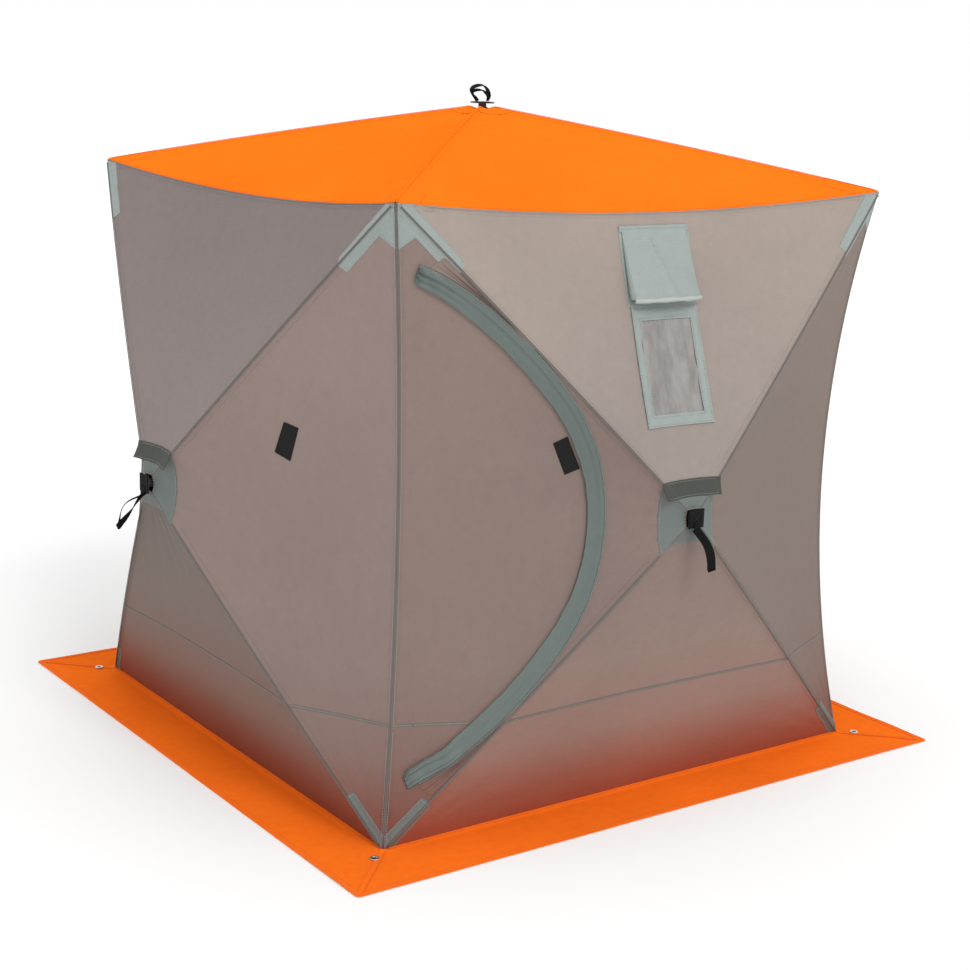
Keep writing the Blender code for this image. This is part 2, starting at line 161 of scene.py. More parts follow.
def folds(face, side, u, w):
    """Height of the folds over the plain cone. It is zero on the rods and at the seam.

    Fine folds fan out from the hub and from the two corners, and broad waves lie between.
    """
    s = bpy.context.scene.shelter
    inner = np.clip(1 - u * u, 0, 1)
    seam = np.clip((1 - w) / 0.10, 0, 1)
    seam = seam * seam * (3 - 2 * seam)
    p, q = u * HALF * w, HALF * (1 - w)
    seed = sum(map(ord, face + side)) % 17
    h = -s.slack * inner * 4 * w * (1 - w)
    h = h + 0.9 * s.fold_depth * np.sin(u * 19 + 1.5 * noise(p * 9, q * 7, seed)) * np.exp(-w / 0.26) * inner
    for sign in (-1, 1):
        dp, dq = HALF - sign * p, q
        reach = np.hypot(dp, dq)
        turn = np.arctan2(dq, dp)
        fan = np.sin(turn * 26 + 2.0 * noise(p * 6, q * 6, seed + sign))
        h = h + 1.9 * s.fold_depth * fan * np.exp(-(reach / 0.24) ** 1.5) * inner ** 0.5 * seam
        pucker = np.sin(turn * 47 + 2.5 * noise(p * 11, q * 11, seed - sign)) * np.clip(reach / 0.05, 0, 1)
        h = h + 1.5 * s.fold_depth * pucker * np.exp(-(reach / 0.13) ** 2) * inner ** 0.5
    h = h + 1.9 * s.fold_depth * noise(p * 8, q * 8, seed) * inner * seam
    h = h + 0.5 * s.fold_depth * noise(p * 34, q * 21, seed + 3) * inner * seam
    edge = HALF * w * (1 - np.abs(u)) / math.sqrt(2)
    return h + 0.0022 * np.exp(-(edge / 0.0075) ** 2)


def to_cone(face, side, along, inward):
    """The cone's parameters u and w of a point given by its distances along and in from the edge."""
    dip = seam_depth(face, side)
    k = HALF - inward
    root = np.sqrt(np.maximum(k * k - 4 * (HALF - dip) * dip * (along / HALF) ** 2, 0))
    w = np.maximum((k + root) / (2 * (HALF - dip)), 1e-5)
    return along / (HALF * w), w


def cone(face, side, u, w, out=0.0, folded=True):
    """Points of a facet from its cone parameters, out metres over the cloth."""
    u, w = np.broadcast_arrays(np.asarray(u, float), np.asarray(w, float))
    dip = seam_depth(face, side)
    along = u * HALF * w
    inward = HALF * (1 - w) + dip * (1 - u * u) * w
    height = RISE[face] * (1 - w) - dip * (1 - u * u) * w + BOW * 4 * w * (1 - w) * np.minimum(u * u, 1)
    if folded:
        height = height + folds(face, side, u, w)
    centre, right, up, normal = FACES[face]
    e, t = SIDES[side]
    edge, tang = right * e[0] + up * e[1], right * t[0] + up * t[1]
    return (centre + edge * (HALF - inward)[..., None] + tang * along[..., None]
            + normal * (height + out)[..., None])


def on_cloth(face, side, along, inward, out=0.0, folded=True):
    """Points of a facet from distances along and in from its edge, out metres over the cloth."""
    along, inward = np.broadcast_arrays(np.asarray(along, float), np.asarray(inward, float))
    u, w = to_cone(face, side, along, inward)
    return cone(face, side, u, w, out, folded)


# ---- mesh building -------------------------------------------------------------------------------
class Builder:
    """Collects grids and boxes, then makes one mesh object."""

    def __init__(self):
        self.verts, self.faces, self.slots, self.count = [], [], [], 0

    def _add(self, pts, faces, slot):
        self.verts.append(pts.reshape(-1, 3))
        self.faces.append(faces + self.count)
        self.slots.append(np.full(len(faces), slot))
        self.count += pts.size // 3

    def solid(self, top, low, slot=0, keep=None):
        """Closed solid between two grids of points. keep marks the cells that are there."""
        n, m = top.shape[:2]
        keep = np.ones((n - 1, m - 1), bool) if keep is None else keep
        idx = np.arange(n * m).reshape(n, m)
        a, b, c, d = idx[:-1, :-1], idx[1:, :-1], idx[1:, 1:], idx[:-1, 1:]
        quads = np.stack([a, b, c, d], -1)[keep]
        back = quads[:, ::-1] + n * m
        pad = np.zeros((n + 1, m + 1), bool)
        pad[1:-1, 1:-1] = keep
        rims = []
        for (di, dj), (p, q) in (((0, -1), (a, b)), ((0, 1), (c, d)), ((-1, 0), (d, a)), ((1, 0), (b, c))):
            near = pad[1 + di:n + di, 1 + dj:m + dj]
            edge = keep & ~near
            rims.append(np.stack([q[edge], p[edge], p[edge] + n * m, q[edge] + n * m], -1))
        self._add(np.concatenate([top.reshape(-1, 3), low.reshape(-1, 3)]),
                  np.concatenate([quads, back] + rims), slot)

    def skin(self, top, normal, thick, slot=0, keep=None):
        """Closed sheet of even thickness below a grid of points."""
        self.solid(top, top - normal * thick, slot, keep)

    def tube(self, path, radius, slot=0, around=10):
        """Round tube along a line of points. radius may change along it."""
        path = np.asarray(path, float)
        n = len(path)
        radius = np.broadcast_to(radius, n)
        tangent = heading(path)
        upright = abs(tangent[:, 2]).mean() >= 0.8
        side = unit(np.cross(tangent, [0.93, 0.31, 0.2] if upright else [0.31, 0.27, 0.91]))
        over = np.cross(side, tangent)
        t = np.linspace(0, 2 * math.pi, around, endpoint=False)
        ring = (path[:, None] + (side[:, None] * np.cos(t)[None, :, None]
                                 + over[:, None] * np.sin(t)[None, :, None]) * radius[:, None, None])
        idx = np.arange(n * around).reshape(n, around)
        nxt = np.roll(idx, -1, 1)
        quads = [np.stack([idx[:-1], nxt[:-1], nxt[1:], idx[1:]], -1).reshape(-1, 4)]
        for row, tip, turn in ((0, n * around, 1), (n - 1, n * around + 1, -1)):
            tips = np.full(around, tip)
            quads.append(np.stack([nxt[row], idx[row], tips, tips], -1)[:, ::turn])
        pts = np.concatenate([ring.reshape(-1, 3), path[[0, -1]]])
        self._add(pts, np.concatenate(quads), slot)

    def band(self, path, across, thick_dir, width, thick, slot=0):
        """Flat strap along a line of points, with its width and thickness directions at each."""
        w, t = across * (width / 2), thick_dir * (thick / 2)
        ring = np.stack([path + w + t, path - w + t, path - w - t, path + w - t], 1)
        n = len(path)
        idx = np.arange(4 * n).reshape(n, 4)
        nxt = np.roll(idx, -1, 1)
        quads = np.stack([idx[:-1], nxt[:-1], nxt[1:], idx[1:]], -1).reshape(-1, 4)
        self._add(ring, np.concatenate([quads, idx[:1, ::-1], idx[-1:]]), slot)

    def bars(self, start, end, up, width, thick, slot=0):
        """Many small bars, one per pair of points, such as stitches or zip teeth."""
        run = end - start
        run = run / np.maximum(np.linalg.norm(run, axis=1), 1e-9)[:, None]
        side = np.cross(run, up)
        side /= np.maximum(np.linalg.norm(side, axis=1), 1e-9)[:, None]
        w, t = side * (width / 2), np.broadcast_to(up, start.shape) * thick
        mid = (start + end) / 2 + t
        pts = np.stack([start - w, start + w, mid + w * 0.8, mid - w * 0.8, end - w, end + w], 1)
        base = np.arange(len(start))[:, None] * 6
        cells = np.array([[0, 1, 2, 3], [3, 2, 5, 4], [0, 3, 4, 4], [1, 5, 2, 2], [0, 4, 5, 1]])
        faces = (base[:, None] + cells[None]).reshape(-1, 4)
        self._add(pts, faces, slot)

    def make(self, name, mats, angle=40):
        """The mesh object, smooth except at edges sharper than the angle."""
        verts = np.concatenate(self.verts)
        faces = np.concatenate(self.faces)
        slots = np.concatenate(self.slots)
        mesh = bpy.data.meshes.new(name)
        mesh.from_pydata(verts.tolist(), [], [tuple(dict.fromkeys(f)) for f in faces.tolist()])
        mesh.polygons.foreach_set("material_index", slots.astype(np.int32))
        mesh.polygons.foreach_set("use_smooth", np.ones(len(mesh.polygons), bool))
        bm = bmesh.new()
        bm.from_mesh(mesh)
        bmesh.ops.recalc_face_normals(bm, faces=bm.faces)
        bm.to_mesh(mesh)
        bm.free()
        for mat in mats:
            mesh.materials.append(mat)
        mesh.set_sharp_from_angle(angle=math.radians(angle))
        mesh.update()
        obj = bpy.data.objects.new(name, mesh)
        bpy.context.scene.collection.objects.link(obj)
        return obj


def patch(build, face, side, corners, out, thick=0.0008, slot=1, cells=(14, 14)):
    """Sewn-on patch: a four-cornered piece of cloth that follows the facet beneath it."""
    pq = fill(corners, *np.meshgrid(np.linspace(0, 1, cells[0]), np.linspace(0, 1, cells[1]), indexing="ij"))
    top = on_cloth(face, side, pq[..., 0], pq[..., 1], out)
    build.skin(top, FACES[face][3], thick, slot)


def stitches(build, face, side, line, out, slot=2, pitch=None, width=0.0011):
    """Row of stitches along a line given as distances along and in from the facet's edge."""
    pitch = pitch or bpy.context.scene.shelter.stitch
    line = np.array(line, float)
    step = np.linalg.norm(np.diff(line, axis=0), axis=1)
    far = np.concatenate([[0], np.cumsum(step)])
    count = max(int(far[-1] / pitch), 1)
    at = (np.arange(count) + 0.2) * pitch
    ends = [np.stack([np.interp(at + k, far, line[:, n]) for n in (0, 1)], -1) for k in (0, 0.62 * pitch)]
    a, b = (on_cloth(face, side, e[:, 0], e[:, 1], out) for e in ends)
    build.bars(a, b, FACES[face][3], width, 0.0009, slot)


# ---- materials -----------------------------------------------------------------------------------
def nodes_of(name, rough=0.6, metal=0.0):
    """New material with its tree, its Principled node and helpers to add and join nodes."""
    mat = bpy.data.materials.new(name)
    mat.use_nodes = True
    tree = mat.node_tree
    bsdf = tree.nodes["Principled BSDF"]
    bsdf.inputs["Roughness"].default_value = rough
    bsdf.inputs["Metallic"].default_value = metal

    def add(kind, **values):
        node = tree.nodes.new(kind)
        for key, value in values.items():
            if key in node.inputs:
                node.inputs[key].default_value = value
            else:
                setattr(node, key, value)
        return node
    return mat, tree, bsdf, add


def ramp(node, stops):
    """Set a colour ramp's stops."""
    el = node.color_ramp.elements
    while len(el) > len(stops):
        el.remove(el[-1])
    while len(el) < len(stops):
        el.new(0.5)
    for e, (pos, col) in zip(el, stops):
        e.position = pos
        e.color = (*col, 1.0)


def total(add, link, parts, operation="ADD"):
    """Output of a chain of math nodes that joins all the parts."""
    out = parts[0]
    for part in parts[1:]:
        node = add("ShaderNodeMath", operation=operation)
        link(out, node.inputs[0])
        link(part, node.inputs[1])
        out = node.outputs[0]
    return out


def spread(add, link, value, low, high):
    """A noise value from 0.3 to 0.7 spread between two others."""
    node = add("ShaderNodeMapRange", **{"From Min": 0.3, "From Max": 0.7, "To Min": low, "To Max": high})
    link(value, node.inputs["Value"])
    return node.outputs["Result"]


def relief(add, link, height, bsdf, strength, distance):
    """Bumps the surface by a height."""
    hills = add("ShaderNodeBump", Strength=strength, Distance=distance)
    link(height, hills.inputs["Height"])
    link(hills.outputs["Normal"], bsdf.inputs["Normal"])


def cloth(name, color, weave=520.0, rough=0.6, low=None, bump=0.4, shine=0.35, with_painted_shade=False):
    """Coated plain-weave cloth: crossed waves for the threads, and faint stains.

    low is a painted glow near the ground: the colour runs to it there, for the skirt's orange light that
    falls on the cloth and shines through it. The last flag multiplies the cloth by the painted light and
    shade that each point carries.
    """
    mat, tree, bsdf, add = nodes_of(name, rough)
    link = tree.links.new
    coord = add("ShaderNodeTexCoord")
    big = add("ShaderNodeTexNoise", Scale=2.2, Detail=5.0, Roughness=0.55)
    small = add("ShaderNodeTexNoise", Scale=38.0, Detail=3.0, Roughness=0.6)
    link(coord.outputs["Object"], big.inputs["Vector"])
    link(coord.outputs["Object"], small.inputs["Vector"])
    stain = [spread(add, link, big.outputs["Fac"], 0.93, 1.06),
             spread(add, link, small.outputs["Fac"], 0.97, 1.03)]
    split = add("ShaderNodeSeparateXYZ")
    link(coord.outputs["Object"], split.inputs["Vector"])
    shade = add("ShaderNodeValToRGB")
    height = add("ShaderNodeMapRange", **{"From Min": 0.0, "From Max": 1.7, "To Min": 0.0, "To Max": 1.0})
    link(split.outputs["Z"], height.inputs["Value"])
    link(height.outputs["Result"], shade.inputs["Fac"])
    # Painted glow: towards the ground the colour runs to low, for the skirt's orange light on and through the
    # cloth
    stops = [(at, tuple(a * (1 - t) + b * t for a, b in zip(color, low or color)))
             for at, t in ((0.0, 1.0), (0.05, 0.75), (0.12, 0.28), (0.24, 0.06))]
    ramp(shade, stops + [(0.55, color), (0.92, color)])
    # Painted light and shade of each facet, read from its points
    painted_shade_node = add("ShaderNodeAttribute", attribute_name="painted_shade")
    mixed = add("ShaderNodeMix", data_type="RGBA", blend_type="MULTIPLY")
    mixed.inputs["Factor"].default_value = 1.0 if with_painted_shade else 0.0
    link(shade.outputs["Color"], mixed.inputs[6])
    link(painted_shade_node.outputs["Color"], mixed.inputs[7])
    out = add("ShaderNodeVectorMath", operation="SCALE")
    link(mixed.outputs[2], out.inputs[0])
    link(total(add, link, stain, "MULTIPLY"), out.inputs["Scale"])
    link(out.outputs[0], bsdf.inputs["Base Color"])
    waves = []
    for axis in ("X", "Y", "Z"):
        wave = add("ShaderNodeTexWave", wave_type="BANDS", bands_direction=axis)
        wave.inputs["Scale"].default_value = weave / 6.28
        wave.inputs["Distortion"].default_value = 0.6
        link(coord.outputs["Object"], wave.inputs["Vector"])
        waves.append(wave.outputs["Fac"])
    relief(add, link, total(add, link, waves + [small.outputs["Fac"]]), bsdf, bump, 0.0006)
    link(spread(add, link, big.outputs["Fac"], rough - 0.06, rough + 0.08), bsdf.inputs["Roughness"])
    bsdf.inputs["Specular IOR Level"].default_value = shine
    return mat


def webbing(name, color, scale=260.0):
    """Woven strap: slanted bands of one wave, with worn lighter ribs."""
    mat, tree, bsdf, add = nodes_of(name, 0.75)
    link = tree.links.new
    coord = add("ShaderNodeTexCoord")
    turned = add("ShaderNodeMapping", Rotation=(0.6, 0.9, 0.4))
    link(coord.outputs["Object"], turned.inputs["Vector"])
    wave = add("ShaderNodeTexWave", wave_type="BANDS", bands_direction="DIAGONAL")
    wave.inputs["Scale"].default_value = scale
    wave.inputs["Distortion"].default_value = 1.5
    link(turned.outputs["Vector"], wave.inputs["Vector"])
    shade = add("ShaderNodeValToRGB")
    ramp(shade, [(0.2, tuple(c * 0.6 for c in color)), (0.8, tuple(min(c * 1.9, 1) for c in color))])
    link(wave.outputs["Fac"], shade.inputs["Fac"])
    link(shade.outputs["Color"], bsdf.inputs["Base Color"])
    relief(add, link, wave.outputs["Fac"], bsdf, 0.6, 0.0006)
    bsdf.inputs["Specular IOR Level"].default_value = 0.12
    return mat


def hard(name, color, rough, metal=0.0, streak=0.0):
    """Plastic, metal or fibre: base colour with fine scuffs, and long streaks for drawn rods."""
    mat, tree, bsdf, add = nodes_of(name, rough, metal)
    link = tree.links.new
    coord = add("ShaderNodeTexCoord")
    tex = add("ShaderNodeTexNoise", Scale=130.0, Detail=6.0, Roughness=0.65)
    if streak:
        thin = add("ShaderNodeMapping", Scale=(streak, streak, 1.0))
        link(coord.outputs["Object"], thin.inputs["Vector"])
        link(thin.outputs["Vector"], tex.inputs["Vector"])
    else:
        link(coord.outputs["Object"], tex.inputs["Vector"])
    shade = add("ShaderNodeValToRGB")
    ramp(shade, [(0.3, tuple(c * 0.8 for c in color)), (0.7, tuple(min(c * 1.2 + 0.004, 1) for c in color))])
    link(tex.outputs["Fac"], shade.inputs["Fac"])
    link(shade.outputs["Color"], bsdf.inputs["Base Color"])
    wear = add("ShaderNodeMapRange", **{"To Min": rough - 0.08, "To Max": rough + 0.12})
    link(tex.outputs["Fac"], wear.inputs["Value"])
    link(wear.outputs["Result"], bsdf.inputs["Roughness"])
    relief(add, link, tex.outputs["Fac"], bsdf, 0.12, 0.0004)
    return mat


def painted_film_material():
    """Soft clear film over a dim cabin, as one opaque sheet: its dark grey is painted shade for the cabin
    seen through it, and its long soft pale streaks are painted highlights of its creases.
    """
    mat, tree, bsdf, add = nodes_of("window_film", 0.38)
    link = tree.links.new
    coord = add("ShaderNodeTexCoord")
    tall = add("ShaderNodeMapping", Scale=(30.0, 30.0, 5.0))
    link(coord.outputs["Object"], tall.inputs["Vector"])
    tex = add("ShaderNodeTexNoise", Scale=1.0, Detail=4.0, Roughness=0.6)
    link(tall.outputs["Vector"], tex.inputs["Vector"])
    shade = add("ShaderNodeValToRGB")
    # From painted shade of the dim cabin to painted highlights of the creases
    ramp(shade, [(0.3, (0.17, 0.158, 0.15)), (0.7, (0.30, 0.283, 0.272))])
    link(tex.outputs["Fac"], shade.inputs["Fac"])
    link(shade.outputs["Color"], bsdf.inputs["Base Color"])
    relief(add, link, tex.outputs["Fac"], bsdf, 0.25, 0.001)
    return mat


MATS = {}


def materials():
    """All the shelter's materials, made once from the settings."""
    if MATS:
        return MATS
    s = bpy.context.scene.shelter
    wall, roof, skirt, bind = tuple(s.wall), tuple(s.roof), tuple(s.skirt), tuple(s.binding)
    tent = {"weave": 900.0, "bump": 0.25}
    MATS.update(
        # Wall cloth: painted glow near the ground, and each facet's painted light and shade multiplied in
        wall=cloth("wall_cloth", wall, rough=0.62, low=(0.25, 0.065, 0.035), with_painted_shade=True, **tent),
        roof=cloth("roof_cloth", roof, rough=0.8, shine=0.0, **tent),
        skirt=cloth("skirt_cloth", skirt, rough=0.8, shine=0.0, **tent),
        binding=cloth("corner_cloth", bind, rough=0.5, shine=0.5),
        flap=cloth("flap_cloth", tuple(np.multiply(bind, (0.38, 0.42, 0.405))), rough=0.5, shine=0.5),
        vent=cloth("vent_cloth", tuple(c * 1.05 for c in bind), rough=0.5, shine=0.5),
        # Hub patches' own cloth, which also serves as the painted shade of the lower corner sleeves
        patch=cloth("hub_patch_and_shaded_sleeve_cloth", tuple(c * 0.49 for c in bind)),
        band=cloth("hub_band_cloth", (0.050, 0.055, 0.045), rough=0.7),
        seam=cloth("seam_cloth", (0.125, 0.118, 0.106)),
        rim=cloth("hood_rim_cloth", (0.40, 0.43, 0.40)),
        pile=cloth("hook_loop_black", (0.008, 0.008, 0.008), weave=1500.0, rough=0.9, bump=0.9),
        thread=hard("thread_pale", (0.30, 0.31, 0.29), 0.7),
        thread_dark=hard("thread_orange", (0.62, 0.13, 0.02), 0.7),
        webbing=webbing("pull_webbing", (0.004, 0.004, 0.004)),
        rod=hard("rod_fibre", (0.045, 0.045, 0.050), 0.35, streak=12.0),
        metal=hard("zip_metal", (0.62, 0.62, 0.63), 0.28, 1.0),
        plastic=hard("hub_plastic", (0.010, 0.010, 0.011), 0.55),
        # Vent mesh, whose near-black also stands for the shade in the opening under the hood: painted shade
        mesh=cloth("vent_mesh_and_shade", (0.015, 0.015, 0.015), weave=2400.0, rough=0.9, bump=0.8),
        tape=cloth("zip_tape", (0.07, 0.08, 0.075), weave=700.0, rough=0.75, bump=0.25),
        film=painted_film_material(),
    )
    return MATS


# ---- shared shapes -------------------------------------------------------------------------------
def ribbon(build, face, side, line, left, right, out, slot=1, thick=0.0008, rows=3):
    """Narrow strip of cloth along a line on a facet, from left to right of the line, in metres."""
    line = np.array(line, float)
    run = heading(line)
    nor = np.stack([-run[:, 1], run[:, 0]], -1)
    k = np.linspace(left, right, rows)
    pq = line[None] + nor[None] * k[:, None, None]
    top = on_cloth(face, side, pq[..., 0], pq[..., 1], out)
    build.skin(top, FACES[face][3], thick, slot)


def line(a, b, count=40):
    """Straight line between two points, as a list of points."""
    return np.linspace(np.array(a, float), np.array(b, float), count)


def zip_radius(angle):
    """Distance of the zip from its centre: an arc that bulges at its middle and its ends."""
    return ZIP_R + ZIP_BULGE * np.cos(4 * angle)


def zip_point(angle, shift=0.0):
    """Distances along and in from the corner seam at an angle round the zip's centre."""
    r = zip_radius(angle) + shift
    return r * np.sin(angle), ZIP_CENTRE + r * np.cos(angle)


def zip_line(shift, first, last, count=160):
    """Line that runs beside the zip, shift metres outside it, between two angles in degrees."""
    return np.stack(zip_point(np.radians(np.linspace(first, last, count)), shift), -1)


def zip_inward(along):
    """How far in from the corner seam the zip is, at a distance along it."""
    t = np.radians(np.linspace(-80, 80, 600))
    a, b = zip_point(t)
    return float(np.interp(along, a, b))


def ring(build, centre, axis, outer, inner, thick, slot=0, around=28):
    """Flat round ring with softened edges, such as an eyelet or a rod's eye."""
    axis = unit(axis)
    side = unit(np.cross(axis, [0.3, 0.5, 0.8]))
    over = np.cross(axis, side)
    t = np.linspace(0, 2 * math.pi, around, endpoint=False)
    ray = side * np.cos(t)[:, None] + over * np.sin(t)[:, None]
    soft = min((outer - inner) * 0.3, thick * 0.4)
    section = [(inner, thick / 2 - soft), (inner + soft, thick / 2), (outer - soft, thick / 2),
               (outer, thick / 2 - soft), (outer, soft - thick / 2), (outer - soft, -thick / 2),
               (inner + soft, -thick / 2), (inner, soft - thick / 2)]
    pts = np.stack([centre + ray * r + axis * h for r, h in section], 1)
    idx = np.arange(around * 8).reshape(around, 8)
    nxt, after = np.roll(idx, -1, 1), np.roll(idx, -1, 0)
    quads = np.stack([idx, nxt, np.roll(after, -1, 1), after], -1).reshape(-1, 4)
    build._add(pts, quads, slot)


def move_out(along, inward, inside, nearest):
    """Cells that stay outside a cut-out, and the grid with its edge moved onto the outline."""
    hit = inside(along, inward)
    keep = ~(hit[:-1, :-1] & hit[1:, :-1] & hit[1:, 1:] & hit[:-1, 1:])
    p, q = nearest(along, inward)
    return np.where(hit, p, along), np.where(hit, q, inward), keep


def door_inside(along, inward):
    """Points that lie inside the door's outline."""
    deep = inward - ZIP_CENTRE
    return (inward > DOOR_FOLD) & (np.hypot(along, deep) < zip_radius(np.arctan2(along, deep)))


def door_nearest(along, inward):
    """Closest point of the door's outline: its fold line or the zip."""
    deep = inward - ZIP_CENTRE
    far, edge = np.hypot(along, deep), zip_radius(np.arctan2(along, deep))
    k = edge / np.maximum(far, 1e-6)
    on_zip = edge - far < inward - DOOR_FOLD
    return np.where(on_zip, along * k, along), np.where(on_zip, ZIP_CENTRE + deep * k, DOOR_FOLD)


def box_cut(half, first, last):
    """Inside test and closest outline point for a box on the upper front facet."""
    def inside(along, inward):
        return (np.abs(along - SHIFT) < half) & (inward > first) & (inward < last)

    def nearest(along, inward):
        x = along - SHIFT
        gaps = np.stack([half - np.abs(x), inward - first, last - inward])
        pick = np.argmin(gaps, axis=0)
        return (np.where(pick == 0, SHIFT + np.sign(x) * half, along),
                np.where(pick == 1, first, np.where(pick == 2, last, inward)))
    return inside, nearest


def fold_strip(face):
    """Two distances in from a facet's edge, for the strip where its cloth would turn with its hub."""
    if face == "front":
        return 0.064, DOOR_FOLD
    return (0.042, 0.200) if face == "roof" else (0.066, 0.220)


# Painted light and shade of each facet's thin cloth, which differ with what shows through it: colour
# multipliers for its top, then its bottom.
PAINTED_FACET_SHADE = {
    "front_a": ((0.81, 0.75, 0.73), (0.65, 0.61, 0.60)),
    "front_b": ((1.15, 1.19, 1.17), (0.79, 0.90, 0.93)),
    "front_c": ((0.68, 0.66, 0.61), (0.62, 0.62, 0.60)),
    "front_d": ((0.42, 0.45, 0.44), (1.08, 0.99, 0.95)),
    "left_a": ((0.49, 0.58, 0.64), (0.40, 0.43, 0.41)),
    "left_b": ((0.70, 0.71, 0.76), (0.97, 1.02, 1.11)),
    "left_c": ((0.95, 0.87, 0.88), (0.71, 0.70, 0.71)),
    "left_d": ((0.16, 0.26, 0.25), (0.80, 0.75, 0.71)),
}


def paint_facet_shade(obj, face, side):
    """Stores the facet's painted light and shade at each point: it runs evenly from that of its top to that
    of its bottom.
    """
    wall = {"back": "left", "right": "front"}.get(face, face)
    top, low = (np.array(c) for c in PAINTED_FACET_SHADE.get(f"{wall}_{side}", ((1, 1, 1), (1, 1, 1))))
    co = np.empty(len(obj.data.vertices) * 3)
    obj.data.vertices.foreach_get("co", co)
    k = np.clip(co[2::3, None] / 1.45, 0, 1)
    painted_shade = obj.data.attributes.new("painted_shade", "FLOAT_COLOR", "POINT")
    rgba = np.concatenate([low * (1 - k) + top * k, np.ones_like(k)], 1)
    painted_shade.data.foreach_set("color", rgba.astype(np.float32).ravel())


# ---- facets --------------------------------------------------------------------------------------
def facet_trim(build, face, side):
    """Bindings, corner patches, hub patches, the band seam and all stitching of one facet."""
    roof = face == "roof"
    dip = seam_depth(face, side)
    u = np.linspace(-1, 1, 90)
    seam = np.stack([u * HALF * 0.998, dip * (1 - u * u)], -1)
    if side != "d" or roof:
        ribbon(build, face, side, seam, 0.0003, 0.0026, 0.0011, slot=0 if side == "b" else 6)
        ribbon(build, face, side, seam + [0, 0.011], -0.001, 0.001, 0.0004, rows=2, thick=0.0006, slot=0)
        stitches(build, face, side, seam[1:-1] + [0, 0.0050], 0.0012)
    tip = 0.024 if roof else 0.088
    for s in (-1, 1):
        diag = line((s * (HALF - 0.010), 0.010), (s * tip, HALF - tip), 70)
        lean = np.array([-s, -1]) / math.sqrt(2)
        low, high = sorted((0.0, -s * 0.0026))
        ribbon(build, face, side, diag, low, high, 0.0012, slot=6)
        stitches(build, face, side, diag[1:-1] + lean * 0.0110, 0.0003, slot=0, width=0.0007)
        top = (side == "b") or (side == "a" and s < 0) or (side == "c" and s > 0) or roof
        along_seam, along_diag, wide = (0.105, 0.150, 0.020) if top else (0.030, 0.105, 0.015)
        if side == "b" and not roof:
            along_seam, wide = 0.045, 0.022
        if roof:
            along_seam, along_diag, wide = 0.070, 0.100, 0.036
        us = (HALF - along_seam) / HALF
        corner = (s * (HALF - 0.003), 0.002)
        on_seam = (s * us * HALF, dip * (1 - us * us) + 0.001)
        on_diag = (s * (HALF - along_diag), along_diag - 0.001)
        middle = (on_diag[0] - s * wide / 1.41, on_diag[1] - wide / 1.41)
        # The sleeves by the lower corners take a darker copy of the sleeve cloth: painted shade
        finish = 0 if roof else 1 if top else 7
        if top and side in "ac":
            elbow = (s * (HALF - 0.062 - wide / 1.41), 0.062 - wide / 1.41)
            near = (s * (HALF - 0.062), 0.061)
            patch(build, face, side, (corner, on_seam, elbow, near), 0.0009, slot=finish)
            patch(build, face, side, (near, elbow, middle, on_diag), 0.0009, slot=finish)
            inner = np.array([on_seam, elbow, middle, on_diag])
        else:
            patch(build, face, side, (corner, on_seam, middle, on_diag), 0.0009, slot=finish)
            inner = np.array([on_seam, middle, on_diag])
        for a, b in zip(inner[:-1], inner[1:]):
            pull = (np.array(corner) - (a + b) / 2) * 0.045
            stitches(build, face, side, line(a + pull, b + pull, 12), 0.0011)
        pocket = [(s * (HALF - 0.036), 0.034), (s * (HALF - 0.060), 0.016), (s * (HALF - 0.105), 0.060),
                  (s * (HALF - 0.088), 0.086)]
        patch(build, face, side, pocket, -0.0195, thick=0.0012, slot=1, cells=(6, 6))
    if roof:
        patch(build, face, side, ((-0.058, 0.688), (0.058, 0.688), (0.021, 0.727), (-0.021, 0.727)), 0.0012,
              slot=0, cells=(8, 8))
        stitches(build, face, side, line((-0.056, 0.690), (0.056, 0.690), 20), 0.0013)
        return
    start = {"a": 0.664, "b": 0.700, "c": 0.664, "d": 0.686}[side]
    reach = HALF - start
    patch(build, face, side, ((-reach, start), (reach, start), (0.021, 0.727), (-0.021, 0.727)), 0.0012,
          slot=7, cells=(12, 12))
    ends = (-reach * 0.96, start + 0.003), (reach * 0.96, start + 0.003)
    stitches(build, face, side, line(*ends, 20), 0.0014)
    if side == "b":
        patch(build, face, side, ((-0.092, 0.660), (0.092, 0.660), (0.086, 0.701), (-0.086, 0.701)), 0.0030,
              thick=0.0014, slot=3, cells=(40, 12))
        for q in (0.664, 0.697):
            stitches(build, face, side, line((-0.080, q), (0.080, q), 20), 0.0027)
    level = BAND - BASE
    if side == "d":
        ends = [((-(HALF - level) + 0.004, level), (HALF - level - 0.004, level))]
    else:
        s = 1 if side == "a" else -1
        at = s * (MID - BAND)
        first = dip * (1 - (at / HALF) ** 2) + 0.006
        last = HALF - abs(at) - 0.004
        ends = [((at, first), (at, last))]
        if face == "front" and side == "a":
            zip_at = zip_inward(at)
            ends = [((at, first), (at, DOOR_FOLD)), ((at, zip_at + 0.001), (at, last))]
        if side == "b":
            ends = []
    for a, b in ends:
        ribbon(build, face, side, line(a, b), -0.0030, 0.0030, 0.0009, slot=6)
        stitches(build, face, side, line(a, b), 0.0010)


